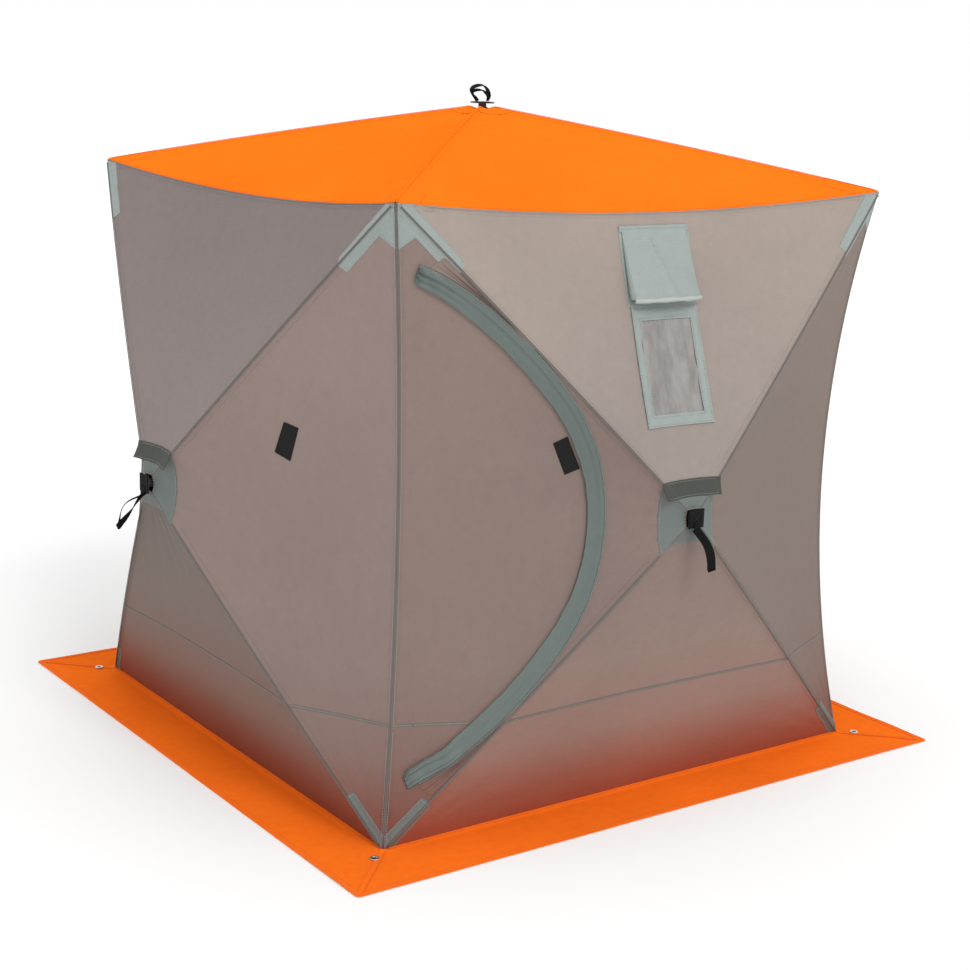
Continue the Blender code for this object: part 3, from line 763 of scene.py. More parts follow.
def build_facet(face, side):
    """One cloth triangle with its trim, which stays sewn at the seam."""
    s = bpy.context.scene.shelter
    m = materials()
    fine = face in ("front", "left", "roof")
    rows, cols = (s.rows, s.columns) if fine else (s.rows * 2 // 3, s.columns * 2 // 3)
    w = 1 - (1 - 0.028) * np.linspace(0, 1, rows + 1)[:, None] ** 1.05
    u = np.linspace(-1, 1, cols + 1)[None, :] * np.ones_like(w)
    w = w * np.ones_like(u)
    dip = seam_depth(face, side)
    along, inward = u * HALF * w, HALF * (1 - w) + dip * (1 - u * u) * w
    keep = None
    if face == "front" and side == "a":
        along, inward, keep = move_out(along, inward, door_inside, door_nearest)
    if face == "front" and side == "b":
        for half, first, last in (VENT_BOX, FILM_BOX):
            along, inward, more = move_out(along, inward, *box_cut(half, first, last))
            keep = more if keep is None else keep & more
    top = on_cloth(face, side, along, inward)
    build = Builder()
    build.skin(top, FACES[face][3], 0.0009, 0, keep)
    facet_trim(build, face, side)
    if face == "front" and side == "b":
        # Near-black sheet behind the vent's opening: a vent mesh, and painted shade in the opening under the
        # hood
        half, first, last = VENT_BOX
        patch(build, face, side, ((SHIFT - half - .006, first - .006), (SHIFT + half + .006, first - .006),
                                  (SHIFT + half + .006, last + .006), (SHIFT - half - .006, last + .006)),
              -0.0012, thick=0.0005, slot=4)
    if face == "left" and side == "c":
        stick_patch(build, face, side, ((0.212, 0.351), (0.202, 0.316), (0.118, 0.345), (0.134, 0.384)), 5)
    main = m["roof"] if face == "roof" else m["wall"]
    trim = m["roof"] if face == "roof" else m["binding"]
    # Slot 7 holds the hub patch cloth, also the painted shade of the lower corner sleeves
    seam, hub = (m["roof"], m["roof"]) if face == "roof" else (m["seam"], m["patch"])
    thread = m["thread_dark"] if face == "roof" else m["thread"]
    name = f"{face}_facet_{side}"
    obj = build.make(f"cloth_{name}", [main, trim, thread, m["band"], m["mesh"], m["pile"], seam, hub])
    # Painted light and shade of the facet, stored at its points
    paint_facet_shade(obj, face, side)
    first, last = fold_strip(face)
    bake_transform(obj)
    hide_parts(name)
    return obj


# ---- door ----------------------------------------------------------------------------------------
def build_door():
    """Door panel with its hook-and-loop patch, half of the zip and the band seam across it."""
    m = materials()
    t = np.radians(np.linspace(-70.4, 70.4, 141))[None, :]
    i = np.linspace(0, 1, 73)[:, None]
    along, edge = zip_point(t, -0.0006)
    inward = DOOR_FOLD + 0.0001 + (edge - DOOR_FOLD) * i
    build = Builder()
    build.skin(on_cloth("front", "a", along, inward), FACES["front"][3], 0.0009)
    zip_half(build, -1)
    at = MID - BAND
    ends = line((at, DOOR_FOLD + 0.0005), (at, zip_inward(at) - 0.016))
    ribbon(build, "front", "a", ends, -0.0030, 0.0030, 0.0009, slot=6)
    stitches(build, "front", "a", ends, 0.0010)
    stick_patch(build, "front", "a", ((-0.194, 0.403), (-0.210, 0.432), (-0.131, 0.470), (-0.117, 0.438)), 4)
    obj = build.make("cloth_door", [m["wall"], m["binding"], m["thread"], m["tape"], m["pile"], m["plastic"],
                                    m["seam"]])
    # Painted light and shade of the facet, stored at its points
    paint_facet_shade(obj, "front", "a")
    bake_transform(obj)
    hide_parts("door_panel")


def stick_patch(build, face, side, corners, slot):
    """Black hook-and-loop patch with a row of stitches just inside its edge."""
    patch(build, face, side, corners, 0.0022, thick=0.0020, slot=slot)
    c = np.array(corners)
    ring_line = c.mean(0) + (c[[0, 1, 2, 3, 0]] - c.mean(0)) * 0.88
    stitches(build, face, side, ring_line, 0.0023, slot=slot)


def zip_half(build, which):
    """Half of the zip, on the -1 or 1 side of its line: woven tape, a row of stitches and short teeth."""
    near, far = sorted((which * 0.0012, which * 0.0140))
    ribbon(build, "front", "a", zip_line(0, -69, 69), near, far, 0.0010, slot=3, thick=0.0008)
    stitches(build, "front", "a", zip_line(which * 0.0125, -68, 68, 300), 0.0011)
    t = np.radians(np.arange(-68.5, 68.5, 0.21)) + (0.0018 if which > 0 else 0.0)
    (p, q), (r, s) = zip_point(t, which * 0.0002), zip_point(t, which * 0.0032)
    build.bars(on_cloth("front", "a", p, q, 0.0014), on_cloth("front", "a", r, s, 0.0014), FACES["front"][3],
               0.0013, 0.0013, 5)


def build_flap():
    """Storm flap over the zip: a tube-like fold with a creased ridge, gathered at both ends.

    Its outer edge is sewn down and its inner edge is free, slightly wavy and lifted.
    """
    m = materials()
    t = np.radians(np.linspace(-FLAP_ANGLE, FLAP_ANGLE, 321))[None, :]
    s = np.linspace(0, 1, 33)[:, None]
    end = np.clip((np.abs(t) - np.radians(52)) / np.radians(22), 0, 1)
    tip = np.clip((np.radians(FLAP_ANGLE) - np.abs(t)) / np.radians(1.6), 0, 1) ** 0.5
    edge_wave = 0.0016 * noise(t * 24 + 0 * s, 0 * s, 4.0) * s ** 3
    radius = 0.0235 - 0.0460 * s * (0.72 + 0.28 * tip) + edge_wave
    along, inward = zip_point(t, radius)
    k = np.clip(s / 0.22, 0, 1)
    over_slider = 0.0056 * np.exp(-((t - np.radians(SLIDER_ANGLE + 2)) / 0.045) ** 2)
    rise = 0.0016 + 0.0066 * k * k * (3 - 2 * k) + over_slider
    ripple = 0.0008 * s * noise(t * 30 + 0 * s, s * 3 + 0 * t, 4.0) + 0.0004 * noise(t * 90, s * 9, 7.0)
    ridge = 0.0030 * np.exp(-((s - 0.36) / 0.045) ** 2) * (0.45 + 0.55 * end)
    ridge = ridge - 0.0012 * np.exp(-((s - 0.50) / 0.07) ** 2)
    gather = 0.0027 * end ** 2 * np.sin(s * 21 + 9 * t + 2.5 * noise(t * 11, s * 3, 2.0))
    gather = gather + 0.0024 * end ** 3 * np.sin(np.abs(t) * 95 + 5 * s + noise(t * 20, s * 4, 5.0))
    top = on_cloth("front", "a", along, inward, rise + ripple + ridge + gather * np.clip(4 * s, 0, 1))
    build = Builder()
    build.skin(top, FACES["front"][3], 0.0010)
    for shift, lift in ((0.0215, 0.0023), (0.0175, 0.0040)):
        stitches(build, "front", "a", zip_line(shift, -72, 72, 300), lift, slot=1)
    obj = build.make("cloth_storm_flap", [m["flap"], m["thread"]])
    sewn_to_facet(obj)
    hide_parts("storm_flap")
    wall = Builder()
    zip_half(wall, 1)
    gusset(wall)
    obj = wall.make("zip_wall_side",
                    [m["flap"], m["wall"], m["thread"], m["tape"], m["thread"], m["plastic"]])
    # Painted light and shade of the facet, stored at its points
    paint_facet_shade(obj, "front", "a")
    sewn_to_facet(obj)


def sewn_to_facet(obj):
    """Bakes a piece's place on the facet that holds the door into its points."""
    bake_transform(obj)


def gusset(build):
    """Slack cloth gathered between the flap's ends and the rod's seam: pleats that fan from the corner."""
    for sign in (-1, 1):
        i = np.linspace(0, 1, 70)[:, None]
        j = np.linspace(0, 1, 50)[None, :]
        t = np.radians(44 + 28 * i) * sign
        a, b = zip_point(t, 0.0245)
        low = np.stack(np.broadcast_arrays(a, b), -1)
        far = 0.5 * (HALF + np.abs(a) - b) - 0.0055
        high = np.stack(np.broadcast_arrays(sign * far, HALF - far - 0.009), -1)
        pq = low * (1 - j[..., None]) + high * j[..., None]
        reach = np.clip(i * 1.5, 0, 1)
        pleat = np.sin(j * 20 + 1.5 * noise(i * 4, j * 5, sign)) * reach * np.sin(np.pi * np.clip(j, 0, 1))
        rise = 0.0012 + 0.0027 * (1 + pleat) * np.sin(np.pi * i) ** 0.5
        top = on_cloth("front", "a", pq[..., 0], pq[..., 1], rise)
        build.skin(top, FACES["front"][3], 0.0009, 1)


def zip_frame():
    """Place and directions of the zip's slider: across, along the zip and outward."""
    p, q = (float(v) for v in zip_point(math.radians(SLIDER_ANGLE)))
    at = on_cloth("front", "a", p, q, 0.0006, folded=False)
    across = on_cloth("front", "a", p, q + 0.01, 0.0006, folded=False) - at
    run = on_cloth("front", "a", p + 0.01, q, 0.0006, folded=False) - at
    across = unit(across)
    out = unit(np.cross(across, run))
    if out @ FACES["front"][3] < 0:
        out = -out
    run = run - across * (run @ across)
    return at + out * 0.0008, across, unit(run), out


def build_slider():
    """Zip slider with a waisted body and a bridge, and its fabric pull."""
    m = materials()
    at, across, run, out = zip_frame()
    y = np.linspace(-0.007, 0.007, 15)[:, None]
    x = np.linspace(-1, 1, 11)[None, :]
    wide = 0.0050 - 0.0012 * np.exp(-((y - 0.002) / 0.0025) ** 2)
    z = 0.0016 + 0.0016 * (1 - (y / 0.0075) ** 4) * (1 - x ** 6)
    level = at + across * (x * wide)[..., None] + run * y[..., None]
    build = Builder()
    build.solid(level + out * z[..., None], level + out * 0.0004)
    t = np.linspace(0.15, math.pi - 0.15, 14)[:, None]
    build.tube(at + run * np.cos(t) * 0.0042 + out * (0.0026 + np.sin(t) * 0.0022), 0.0007)
    obj = build.make("slider_body", [m["metal"]])
    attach(obj, "front_facet_a")
    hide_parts("zip_slider")
    tab = Builder()
    y = np.linspace(0.0030, 0.0285, 18)
    for side in (-1, 1):
        path = at + run * y[:, None] + out * (0.0040 + 0.0002 * np.sin(y * 300))[:, None]
        shift = across * (side * (0.0016 + 0.0010 * (y - 0.003) / 0.025))[:, None]
        tab.tube(path + shift, 0.0009)
    tab.band(at + run * np.linspace(0.016, 0.030, 12)[:, None] + out * 0.0040, np.tile(across, (12, 1)),
             np.tile(out, (12, 1)), 0.0085, 0.0016)
    obj = tab.make("slider_pull", [m["webbing"]])
    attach(obj, "zip_pull")
    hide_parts("zip_pull")


# ---- window and vent -----------------------------------------------------------------------------
def build_window():
    """Window frame of hook-and-loop tape, and the creased film behind it."""
    m = materials()
    half, first, last = FRAME_BOX
    fh, f1, f2 = FILM_BOX
    strips = [(-half, half, first, f1), (-half, half, f2, last), (-half, -fh, f1, f2), (fh, half, f1, f2)]
    build = Builder()
    for n, (x1, x2, y1, y2) in enumerate(strips):
        i, j = np.meshgrid(np.linspace(0, 1, 50), np.linspace(0, 1, 50 if n > 1 else 14), indexing="ij")
        pq = fill(((x1, y1), (x2, y1), (x2, y2), (x1, y2)), i, j)
        p, q = pq[..., 0], pq[..., 1]
        wave = 0.0009 * noise(p * 60, q * 60, n) + 0.0005 * noise(p * 170, q * 170, n + 2)
        top = on_cloth("front", "b", SHIFT + p, q, 0.0032 + wave)
        build.skin(top, FACES["front"][3], 0.0016)
    for inset in (0.004, 0.022):
        h, a, b = half - inset, first + inset, last - inset
        box = np.array([(-h, a), (h, a), (h, b), (-h, b), (-h, a)]) + [SHIFT, 0]
        for p, q in zip(box[:-1], box[1:]):
            stitches(build, "front", "b", line(p, q, 30), 0.0038, slot=1)
    i = np.linspace(0, 1, 14)[:, None]
    j = np.linspace(-1, 1, 50)[None, :]
    deep = VENT_BOX[2] + 0.006 + (first - VENT_BOX[2] - 0.004) * i
    bib = on_cloth("front", "b", SHIFT + (half - 0.001) * j, deep, 0.0020 + 0.0007 * noise(i * 5, j * 9, 3.0))
    build.skin(bib, FACES["front"][3], 0.0008)
    obj = build.make("window_surround", [m["vent"], m["thread"]])
    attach(obj, "front_facet_b")
    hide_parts("window_frame")
    film = Builder()
    p = np.linspace(-fh + 0.0005, fh + 0.006, 81)[None, :]
    q = np.linspace(f1 + 0.001, f2 + 0.006, 101)[:, None]
    i, j = (p + fh) / (2 * fh), (q - f1) / (f2 - f1)
    pull = np.exp(-j / 0.30) + np.exp(-(1 - j) / 0.34)
    streaks = np.sin(p * 430 + 2.2 * noise(p * 16, q * 9, 3)) * (0.5 + 0.5 * noise(p * 21, 0 * q, 1))
    wave = 0.0011 * streaks * pull
    slope = (j - 0.42) + 0.32 * (i - 0.5)
    wave = wave + 0.0040 * np.exp(-(slope / 0.085) ** 2) + 0.0014 * noise(p * 26, q * 22, 5)
    top = on_cloth("front", "b", SHIFT + p, q, -0.0050 + wave, folded=False)
    film.skin(top, FACES["front"][3], 0.0004)
    obj = film.make("window_pane", [m["film"]])
    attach(obj, "front_facet_b")
    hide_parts("window_film")


def build_vent():
    """Vent hood with a pleat down its middle and a padded lower rim, and the prop that holds it out."""
    m = materials()
    half, first, last = HOOD
    i = np.linspace(0, 1, 61)[:, None]
    j = np.linspace(-1, 1, 71)[None, :]

    def stand(i, j):
        out = 0.003 + (HOOD_STAND - 0.003) * i ** 1.3 * (1 - 0.50 * np.abs(j) ** 3)
        lean = j - 0.22 + 0.34 * i
        pleat = np.clip(1 - np.abs(lean) / (0.03 + 0.17 * i), 0, 1)
        out = out + 0.008 * np.clip(i * 6, 0, 1) * (1 - 0.45 * i) * pleat ** 1.4
        return out + 0.0012 * noise(i * 9 + 0 * j, j * 6 + 0 * i, 2) * np.clip(i * 3, 0, 1)
    top = on_cloth("front", "b", SHIFT + half * j, first + (last - first) * i, stand(i, j), folded=False)
    build = Builder()
    build.skin(top, FACES["front"][3], 0.0012)
    for sign in (-1, 1):
        k = np.linspace(0.04, 1, 40)
        deep = first + (last - first) * k
        outer = on_cloth("front", "b", SHIFT + half * sign, deep,
                         stand(k[:, None], np.array([[float(sign)]]))[:, 0], folded=False)
        inner = on_cloth("front", "b", SHIFT + (half + 0.001) * sign, deep, 0.0012)
        mix = np.linspace(0, 1, 7)[:, None, None]
        cheek = outer[None] * (1 - mix) + inner[None] * mix
        sag = -0.012 * np.sin(np.pi * mix[..., 0]) * k[None] * sign
        cheek = cheek + FACES["front"][1] * sag[..., None] * 0.6
        build.skin(cheek, -FACES["front"][1] * sign, 0.0010)
        at = SHIFT + (half + 0.004) * sign
        edge = line((at, first - 0.004), (at, last + 0.018))
        ribbon(build, "front", "b", edge, -0.006, 0.006, 0.0011, slot=0)
        stitches(build, "front", "b", edge, 0.0012, slot=1)
    head = line((SHIFT - half - 0.008, first - 0.002), (SHIFT + half + 0.008, first - 0.002))
    ribbon(build, "front", "b", head, -0.007, 0.007, 0.0032, slot=0, thick=0.0016)
    stitches(build, "front", "b", head, 0.0034, slot=1)
    j = np.linspace(-1.02, 1.02, 60)
    rim = on_cloth("front", "b", SHIFT + half * j, last + 0.001 + 0.002 * np.abs(j),
                   stand(np.ones((1, 1)), j[None])[0] - 0.003, folded=False)
    build.tube(rim, 0.0058 + 0.0008 * np.sin(j * 9), 2, 14)
    obj = build.make("hood_cloth", [m["vent"], m["thread"], m["rim"]])
    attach(obj, "vent_hood")
    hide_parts("vent_hood")
    prop = Builder()
    foot = on_cloth("front", "b", SHIFT, VENT_BOX[2] + 0.016, 0.0025, folded=False)
    head = on_cloth("front", "b", SHIFT, last - 0.012, HOOD_STAND - 0.016, folded=False)
    prop.tube(np.linspace(foot, head, 12), 0.0021 + 0.0006 * np.abs(np.linspace(-1, 1, 12)) ** 4)
    obj = prop.make("prop_stick", [m["plastic"]])
    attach(obj, "vent_prop")
    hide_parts("vent_prop")


# ---- hubs, rods and loops ------------------------------------------------------------------------
def rod_height(face, radius):
    """Height of a rod's centre line over its face's corners, at a distance from the hub's axis."""
    w = radius / DIAG
    return RISE[face] * (1 - w) + BOW * 4 * w * (1 - w) - HUB_SINK * (1 - w) - TIP_SINK * w


def build_rods(face):
    """Four glass-fibre rods with an eye at the hub, two ferrules and a rounded tip."""
    m = materials()
    centre, right, up, normal = FACES[face]
    for k in range(4):
        turn = math.radians(45 + 90 * k)
        ray = right * math.cos(turn) + up * math.sin(turn)
        side = np.cross(normal, ray)
        r = np.linspace(PIN_POS + 0.0035, DIAG - TIP_BACK + 0.008, 46)
        path = centre + ray * r[:, None] + normal * rod_height(face, r)[:, None]
        fat = np.interp(r, [r[0], DIAG - TIP_BACK - 0.004, DIAG - TIP_BACK + 0.001, DIAG - TIP_BACK + 0.008],
                        [0.0040, 0.0040, 0.0058, 0.0036])
        build = Builder()
        build.tube(path, fat, 0, 14)
        pin = centre + ray * PIN_POS + normal * rod_height(face, PIN_POS)
        ring(build, pin, side, 0.0062, PIN_R + 0.0004, 0.0088, 1, 24)
        for part in (0.36, 0.68):
            r0 = PIN_POS + (DIAG - TIP_BACK - PIN_POS) * part
            rr = np.linspace(r0 - 0.022, r0 + 0.022, 12)
            build.tube(centre + ray * rr[:, None] + normal * rod_height(face, rr)[:, None],
                       0.0054 - 0.0007 * (np.abs(rr - r0) / 0.022) ** 6, 2, 14)
        obj = build.make(f"{face}_rod_piece_{k + 1}", [m["rod"], m["plastic"], m["metal"]])
        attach(obj, f"{face}_rod_{k + 1}")
        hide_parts(f"{face}_rod_{k + 1}")


def build_hub(face):
    """Webbing square on the outside of a hub, with its boxed cross of stitches, and the hub's finish."""
    m = materials()
    centre, right, up, normal = FACES[face]
    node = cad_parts[f"{face}_hub"]
    node.data.materials.clear()
    node.data.materials.append(m["plastic"])
    level = RISE[face] + PAD_OUT + PAD_THICK
    n = 24
    x = np.linspace(-1, 1, n)[:, None] * (PAD / 2 + 0.0002)
    y = np.linspace(-1, 1, n)[None, :] * (PAD / 2 + 0.0002)
    dome = 0.0004 + 0.0007 * (1 - (x / 0.025) ** 4) * (1 - (y / 0.025) ** 4)
    top = centre + right * x[..., None] + up * y[..., None] + normal * (level + dome)[..., None]
    build = Builder()
    build.solid(top, top - normal * (dome[..., None] + 0.0012))
    h = PAD / 2 - 0.005
    path = np.array([(-h, -h), (h, -h), (h, h), (-h, h), (-h, -h), (h, h), (h, -h), (-h, h)])
    for a, b in zip(path[:-1], path[1:]):
        count = int(np.hypot(*(b - a)) / 0.0032)
        t = np.arange(count)[:, None] / count
        one = a + (b - a) * t
        two = a + (b - a) * (t + 0.62 / count)
        lift = level + 0.0011
        build.bars(centre + right * one[:, :1] + up * one[:, 1:] + normal * lift,
                   centre + right * two[:, :1] + up * two[:, 1:] + normal * lift, normal, 0.0009, 0.0005, 1)
    obj = build.make(f"{face}_webbing_square", [m["webbing"], m["plastic"]])
    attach(obj, f"{face}_hub")


def build_wall_loop(face):
    """Pull loop of a wall: one webbing strap sewn to the hub's square, twisted flat and laid back on itself.

    Its two legs lie on each other at the top, part below and meet in a folded tip.
    """
    m = materials()
    centre, right, up, normal = FACES[face]
    lean = {"front": 0.26, "left": 0.10, "back": -0.18, "right": 0.15}[face]
    start = centre + up * (-PAD / 2 - LOOP_GAP) + normal * (RISE[face] + PAD_OUT + PAD_THICK / 2)
    tilt = LOOP_TILT + (0.45 if face == "left" else 0.0)
    down = -up * math.cos(tilt) + normal * math.sin(tilt)
    down = down * math.cos(lean) + right * math.sin(lean)
    flat = unit(np.cross(down, right))
    cross = np.cross(flat, down)
    t = np.linspace(0, 1, 44)
    end = LOOP_LONG - 0.010
    spread = 0.0011 + 0.0125 * np.sin(np.pi * np.clip((t - 0.10) / 0.90, 0, 1)) ** 1.3
    sweep = 0.010 * np.sin(t * 2.6) - 0.006 * t
    belly = 0.010 * np.sin(np.pi * t)
    first = np.stack([sweep * 0.6 - spread * 0.5, end * t, spread * 0.9 + belly], -1)
    second = np.stack([sweep * 0.6 + spread * 0.5, end * t, -spread * 0.4 + belly], -1)[::-1]
    a = np.linspace(math.pi, 0, 18)[1:-1]
    gap = (first[-1] - second[0]) / 2
    middle = (first[-1] + second[0]) / 2
    bend = middle + gap * -np.cos(a)[:, None] + np.array([0, 0.0035, 0]) * np.sin(a)[:, None]
    local = np.concatenate([first, bend, second])
    path = start + cross * local[:, :1] + down * local[:, 1:2] + flat * local[:, 2:]
    tangent = heading(path)
    k = np.linspace(-1, 1, len(path))
    turn = 0.25 + 0.85 * np.exp(-(k / 0.55) ** 2) + 0.2 * np.sin(k * 5)
    wide = square_to(tangent, cross * np.cos(turn)[:, None] + flat * np.sin(turn)[:, None])
    build = Builder()
    build.band(path, wide, np.cross(wide, tangent), 0.0200, 0.0018)
    bend = start + normal * 0.0044
    tab = np.concatenate([line(start + up * PAD * 0.42 + normal * 0.0030, bend, 10),
                          line(bend, start + down * 0.012 + flat * 0.002, 8)[1:]])
    build.band(tab, np.tile(cross, (len(tab), 1)), np.tile(normal, (len(tab), 1)), 0.0170, 0.0018)
    obj = build.make(f"{face}_loop_strap", [m["webbing"], m["plastic"]])
    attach(obj, f"{face}_loop")
    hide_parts(f"{face}_pull_loop")


def build_roof_loop():
    """Roof handle: one webbing strap in a crumpled arch, with a second turn of it inside the first."""
    m = materials()
    base = FACES["roof"][0] + Z * (RISE["roof"] + PAD_OUT + PAD_THICK + 0.001)
    right = np.array([0.812, -0.583, 0.0])
    build = Builder()
    outer = [(0.013, 0.000), (0.019, 0.014), (0.013, 0.032), (0.000, 0.044), (-0.016, 0.042),
             (-0.030, 0.036), (-0.034, 0.026), (-0.026, 0.016), (-0.017, 0.008), (-0.014, 0.000)]
    inner = [(0.010, 0.001), (0.016, 0.012), (0.011, 0.022), (-0.001, 0.030), (-0.014, 0.031),
             (-0.026, 0.028), (-0.028, 0.021), (-0.020, 0.012), (-0.011, 0.001)]
    for points, shift, twist in ((outer, 0.004, 0.5), (inner, -0.005, -0.4)):
        pts = np.array(points)
        far = np.concatenate([[0], np.cumsum(np.hypot(*np.diff(pts, axis=0).T))])
        even = np.linspace(0, far[-1], 60)
        x, z = (np.interp(even, far, pts[:, k]) for k in (0, 1))
        soft = np.ones(7) / 7
        x, z = (np.convolve(np.pad(v, 3, mode="edge"), soft, "valid") for v in (x, z))
        t = np.linspace(0, 1, 60)
        deep = np.cross(Z, right)
        path = base + right * x[:, None] + Z * z[:, None] + deep * (shift + 0.006 * np.sin(t * 7))[:, None]
        tangent = heading(path)
        over = np.cross(tangent, deep)
        turn = twist * np.sin(t * 8)
        wide = deep * np.cos(turn)[:, None] + over * np.sin(turn)[:, None]
        build.band(path, wide, np.cross(wide, tangent), 0.0150, 0.0034)
    obj = build.make("roof_loop_straps", [m["webbing"]])
    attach(obj, "roof_hub")
    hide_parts("roof_pull_loop")


# ---- skirt ---------------------------------------------------------------------------------------
def skirt_height(x, y):
    """Height of the skirt: a low ripple that grows outward, turned up where it meets the walls."""
    r = np.maximum(np.abs(x), np.abs(y))
    reach = np.clip((r - 0.77) / 0.16, 0, 1)
    wave = 0.0016 + 0.0030 * reach * np.clip(noise(x * 7, y * 7, 2.0) + 0.35, 0, 2)
    wave = wave + 0.0010 * reach * np.clip(noise(x * 31, y * 31, 5.0), 0, 2)
    join = np.clip((0.768 - r) / 0.022, 0, 1)
    return wave + 0.0050 * join * join * (3 - 2 * join)


def skirt_point(x, y, out=0.0):
    """Points of the skirt, with its corners cut off as on the frame."""
    x, y = np.broadcast_arrays(np.asarray(x, float), np.asarray(y, float))
    over = np.maximum(np.abs(x) + np.abs(y) - (2 * (HALF + SKIRT_REACH) - 0.006), 0) / 2
    x, y = x - np.sign(x) * over, y - np.sign(y) * over
    return np.stack([x, y, skirt_height(x, y) + out], -1)


def build_skirt():
    """Snow skirt of four mitred panels with a stitched hem, and a metal eyelet at each corner."""
    m = materials()
    build = Builder()
    reach = HALF + SKIRT_REACH
    for k in range(4):
        turn = k * math.pi / 2
        c, s = round(math.cos(turn)), round(math.sin(turn))

        def place(r, t, out=0.0, c=c, s=s):
            return skirt_point(c * r - s * t, s * r + c * t, out)
        r = np.linspace(0.740, reach, 30)[:, None]
        t = np.linspace(-1, 1, 181)[None, :] * r
        build.skin(place(r + 0 * t, t), Z, 0.0010)
        r = np.linspace(reach - 0.016, reach, 4)[:, None]
        t = np.linspace(-1, 1, 181)[None, :] * r
        build.skin(place(r + 0 * t, t, 0.0011), Z, 0.0010)
        for edge in (reach - 0.0135, reach - 0.0035, 0.757):
            a = (np.arange(int(2 * edge / 0.0085)) + 0.15) * 0.0085 - edge
            build.bars(place(edge, a, 0.0013), place(edge, a + 0.0052, 0.0013), Z, 0.0012, 0.0007, 1)

        def mitre(r, off, out, c=c, s=s):
            return skirt_point(r * (c - s) + off * (c + s) / 2, r * (s + c) + off * (s - c) / 2, out)
        r = np.linspace(0.752, reach - 0.008, 40)
        build.skin(mitre(r, np.linspace(-0.011, 0.011, 5)[:, None], 0.0020), Z, 0.0009)
        a = np.arange(0.757, reach - 0.012, 0.0065)
        for off in (-0.008, 0.008):
            build.bars(mitre(a, off, 0.0021), mitre(a + 0.004, off, 0.0021), Z, 0.0012, 0.0007, 1)
    obj = build.make("cloth_skirt", [m["skirt"], m["thread_dark"]])
    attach(obj, "base")
    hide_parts("snow_skirt")
    eyelets = Builder()
    for sx, sy in ((1, 1), (-1, 1), (-1, -1), (1, -1)):
        at = skirt_point(sx * (HALF + 0.042), sy * (HALF + 0.030), 0.0030)
        ring(eyelets, at, Z, 0.0115, 0.0058, 0.0022)
        # Black disc filling the eyelet's hole: painted shade in the hole
        ring(eyelets, at - Z * 0.0008, Z, 0.0060, 0.0002, 0.0008, 1)
    obj = eyelets.make("eyelets", [m["metal"], m["plastic"]])
    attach(obj, "base")


# ---- stage ---------------------------------------------------------------------------------------
WORLD = 1.0           # strength of the even white surroundings
FLOOR = 40.0          # half the side of the floor
CAMERA_AT, CAMERA_TURN = (-2.868, -4.061, 1.811), (-35.690, 13.227, 1.836)
LENS = 67.13
# name, turn in degrees, angle of the soft edge in degrees, strength
LAMPS = (("key", (48, 0, -4), 24, 1.05), ("left", (62, 0, -98), 25, 0.10))


def build_stage():
    """Pale floor, soft studio light and the camera."""
    scene = bpy.context.scene
    scene.view_settings.view_transform = "Standard"
    mat, _, bsdf, _ = nodes_of("stage_floor", 0.9)
    bsdf.inputs["Base Color"].default_value = (0.93, 0.93, 0.93, 1.0)
    mesh = bpy.data.meshes.new("stage_floor")
    corners = ((-1, -1), (1, -1), (1, 1), (-1, 1))
    mesh.from_pydata([(x * FLOOR, y * FLOOR, 0) for x, y in corners], [], [(0, 1, 2, 3)])
    mesh.materials.append(mat)
    floor = bpy.data.objects.new("stage_floor", mesh)
    scene.collection.objects.link(floor)
    world = bpy.data.worlds.new("studio")
    world.use_nodes = True
    world.node_tree.nodes["Background"].inputs["Color"].default_value = (1.0, 1.0, 1.0, 1.0)
    world.node_tree.nodes["Background"].inputs["Strength"].default_value = WORLD
    scene.world = world
    for name, turn, angle, power in LAMPS:
        light = bpy.data.lights.new(name, "SUN")
        light.angle = math.radians(angle)
        light.energy = power
        lamp = bpy.data.objects.new(name, light)
        lamp.rotation_euler = [math.radians(v) for v in turn]
        scene.collection.objects.link(lamp)
    cam = bpy.data.cameras.new("camera")
    cam.sensor_width = 36.0
    cam.lens = LENS
    obj = bpy.data.objects.new("camera", cam)
    az, el, roll = (math.radians(v) for v in CAMERA_TURN)
    back = np.array([math.sin(az) * math.cos(el), -math.cos(az) * math.cos(el), math.sin(el)])
    side = unit(np.cross(Z, back))
    over = np.cross(back, side)
    c, s = math.cos(roll), math.sin(roll)
    side, over = c * side + s * over, -s * side + c * over
    turn = Matrix([[side[i], over[i], back[i]] for i in range(3)]).to_4x4()
    obj.matrix_world = Matrix.Translation(CAMERA_AT) @ turn
    scene.collection.objects.link(obj)
    scene.camera = obj


# ---- operators -----------------------------------------------------------------------------------
class SHELTER_OT_facets(bpy.types.Operator):
    """Sew the twenty cloth facets of the walls and the roof"""

    bl_idname = "shelter.facets"
    bl_label = "Facets"

    def execute(self, context):
        for face in FACES:
            for side in SIDES:
                build_facet(face, side)
        return {"FINISHED"}


class SHELTER_OT_door(bpy.types.Operator):
    """Hang the door, its storm flap and its zip"""

    bl_idname = "shelter.door"
    bl_label = "Door"

    def execute(self, context):
        build_door()
        build_flap()
        build_slider()
        return {"FINISHED"}


class SHELTER_OT_window(bpy.types.Operator):
    """Fit the window and the vent"""

    bl_idname = "shelter.window"
    bl_label = "Window and vent"

    def execute(self, context):
        build_window()
        build_vent()
        return {"FINISHED"}


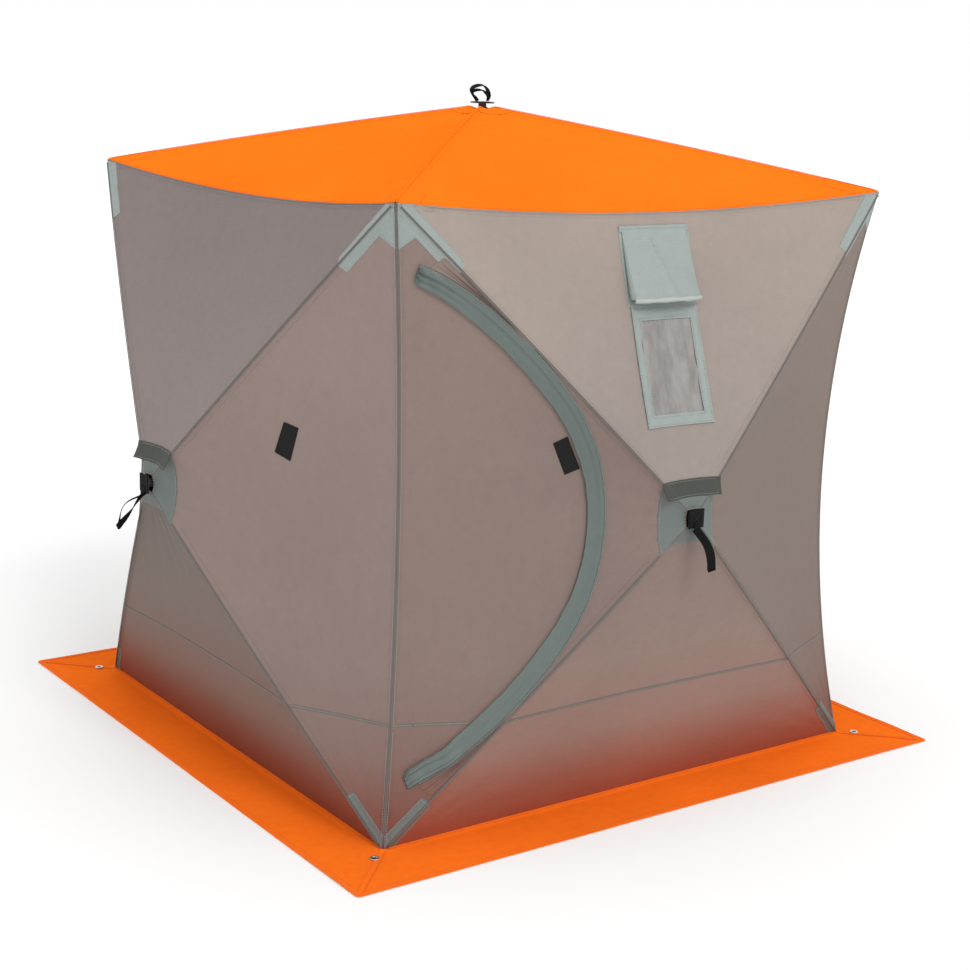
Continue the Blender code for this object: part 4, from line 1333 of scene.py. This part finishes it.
class SHELTER_OT_hubs(bpy.types.Operator):
    """Fit the hubs, the rods and the pull loops"""

    bl_idname = "shelter.hubs"
    bl_label = "Hubs and rods"

    def execute(self, context):
        for face in FACES:
            build_hub(face)
            build_rods(face)
            if face != "roof":
                build_wall_loop(face)
        build_roof_loop()
        return {"FINISHED"}


class SHELTER_OT_skirt(bpy.types.Operator):
    """Lay the snow skirt and set its eyelets"""

    bl_idname = "shelter.skirt"
    bl_label = "Snow skirt"

    def execute(self, context):
        build_skirt()
        return {"FINISHED"}


class SHELTER_OT_stage(bpy.types.Operator):
    """Set up the floor, the lights and the camera"""

    bl_idname = "shelter.stage"
    bl_label = "Stage"

    def execute(self, context):
        build_stage()
        return {"FINISHED"}


class SHELTER_PT_panel(bpy.types.Panel):
    """Sidebar panel with the shelter's sizes, colours and steps"""

    bl_label = "Shelter"
    bl_idname = "SHELTER_PT_panel"
    bl_space_type = "VIEW_3D"
    bl_region_type = "UI"
    bl_category = "Shelter"

    def draw(self, context):
        s = context.scene.shelter
        for prop in ("fold_depth", "slack", "columns", "rows", "stitch", "wall", "roof", "skirt", "binding"):
            self.layout.prop(s, prop)
        for step in STEPS:
            self.layout.operator(step.bl_idname)


STEPS = (SHELTER_OT_facets, SHELTER_OT_door, SHELTER_OT_window, SHELTER_OT_hubs, SHELTER_OT_skirt,
         SHELTER_OT_stage)
CLASSES = (ShelterSettings,) + STEPS + (SHELTER_PT_panel,)


def register():
    """Register the classes and the settings."""
    for cls in CLASSES:
        bpy.utils.register_class(cls)
    bpy.types.Scene.shelter = PointerProperty(type=ShelterSettings)


def unregister():
    """Remove the settings and the classes."""
    del bpy.types.Scene.shelter
    for cls in reversed(CLASSES):
        bpy.utils.unregister_class(cls)


def main():
    """Build the shelter with its own operators."""
    register()
    for step in (bpy.ops.shelter.facets, bpy.ops.shelter.door, bpy.ops.shelter.window, bpy.ops.shelter.hubs,
                 bpy.ops.shelter.skirt, bpy.ops.shelter.stage):
        if step() != {"FINISHED"}:
            raise RuntimeError("a step of the shelter did not finish")
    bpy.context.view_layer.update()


if __name__ == "__main__":
    main()
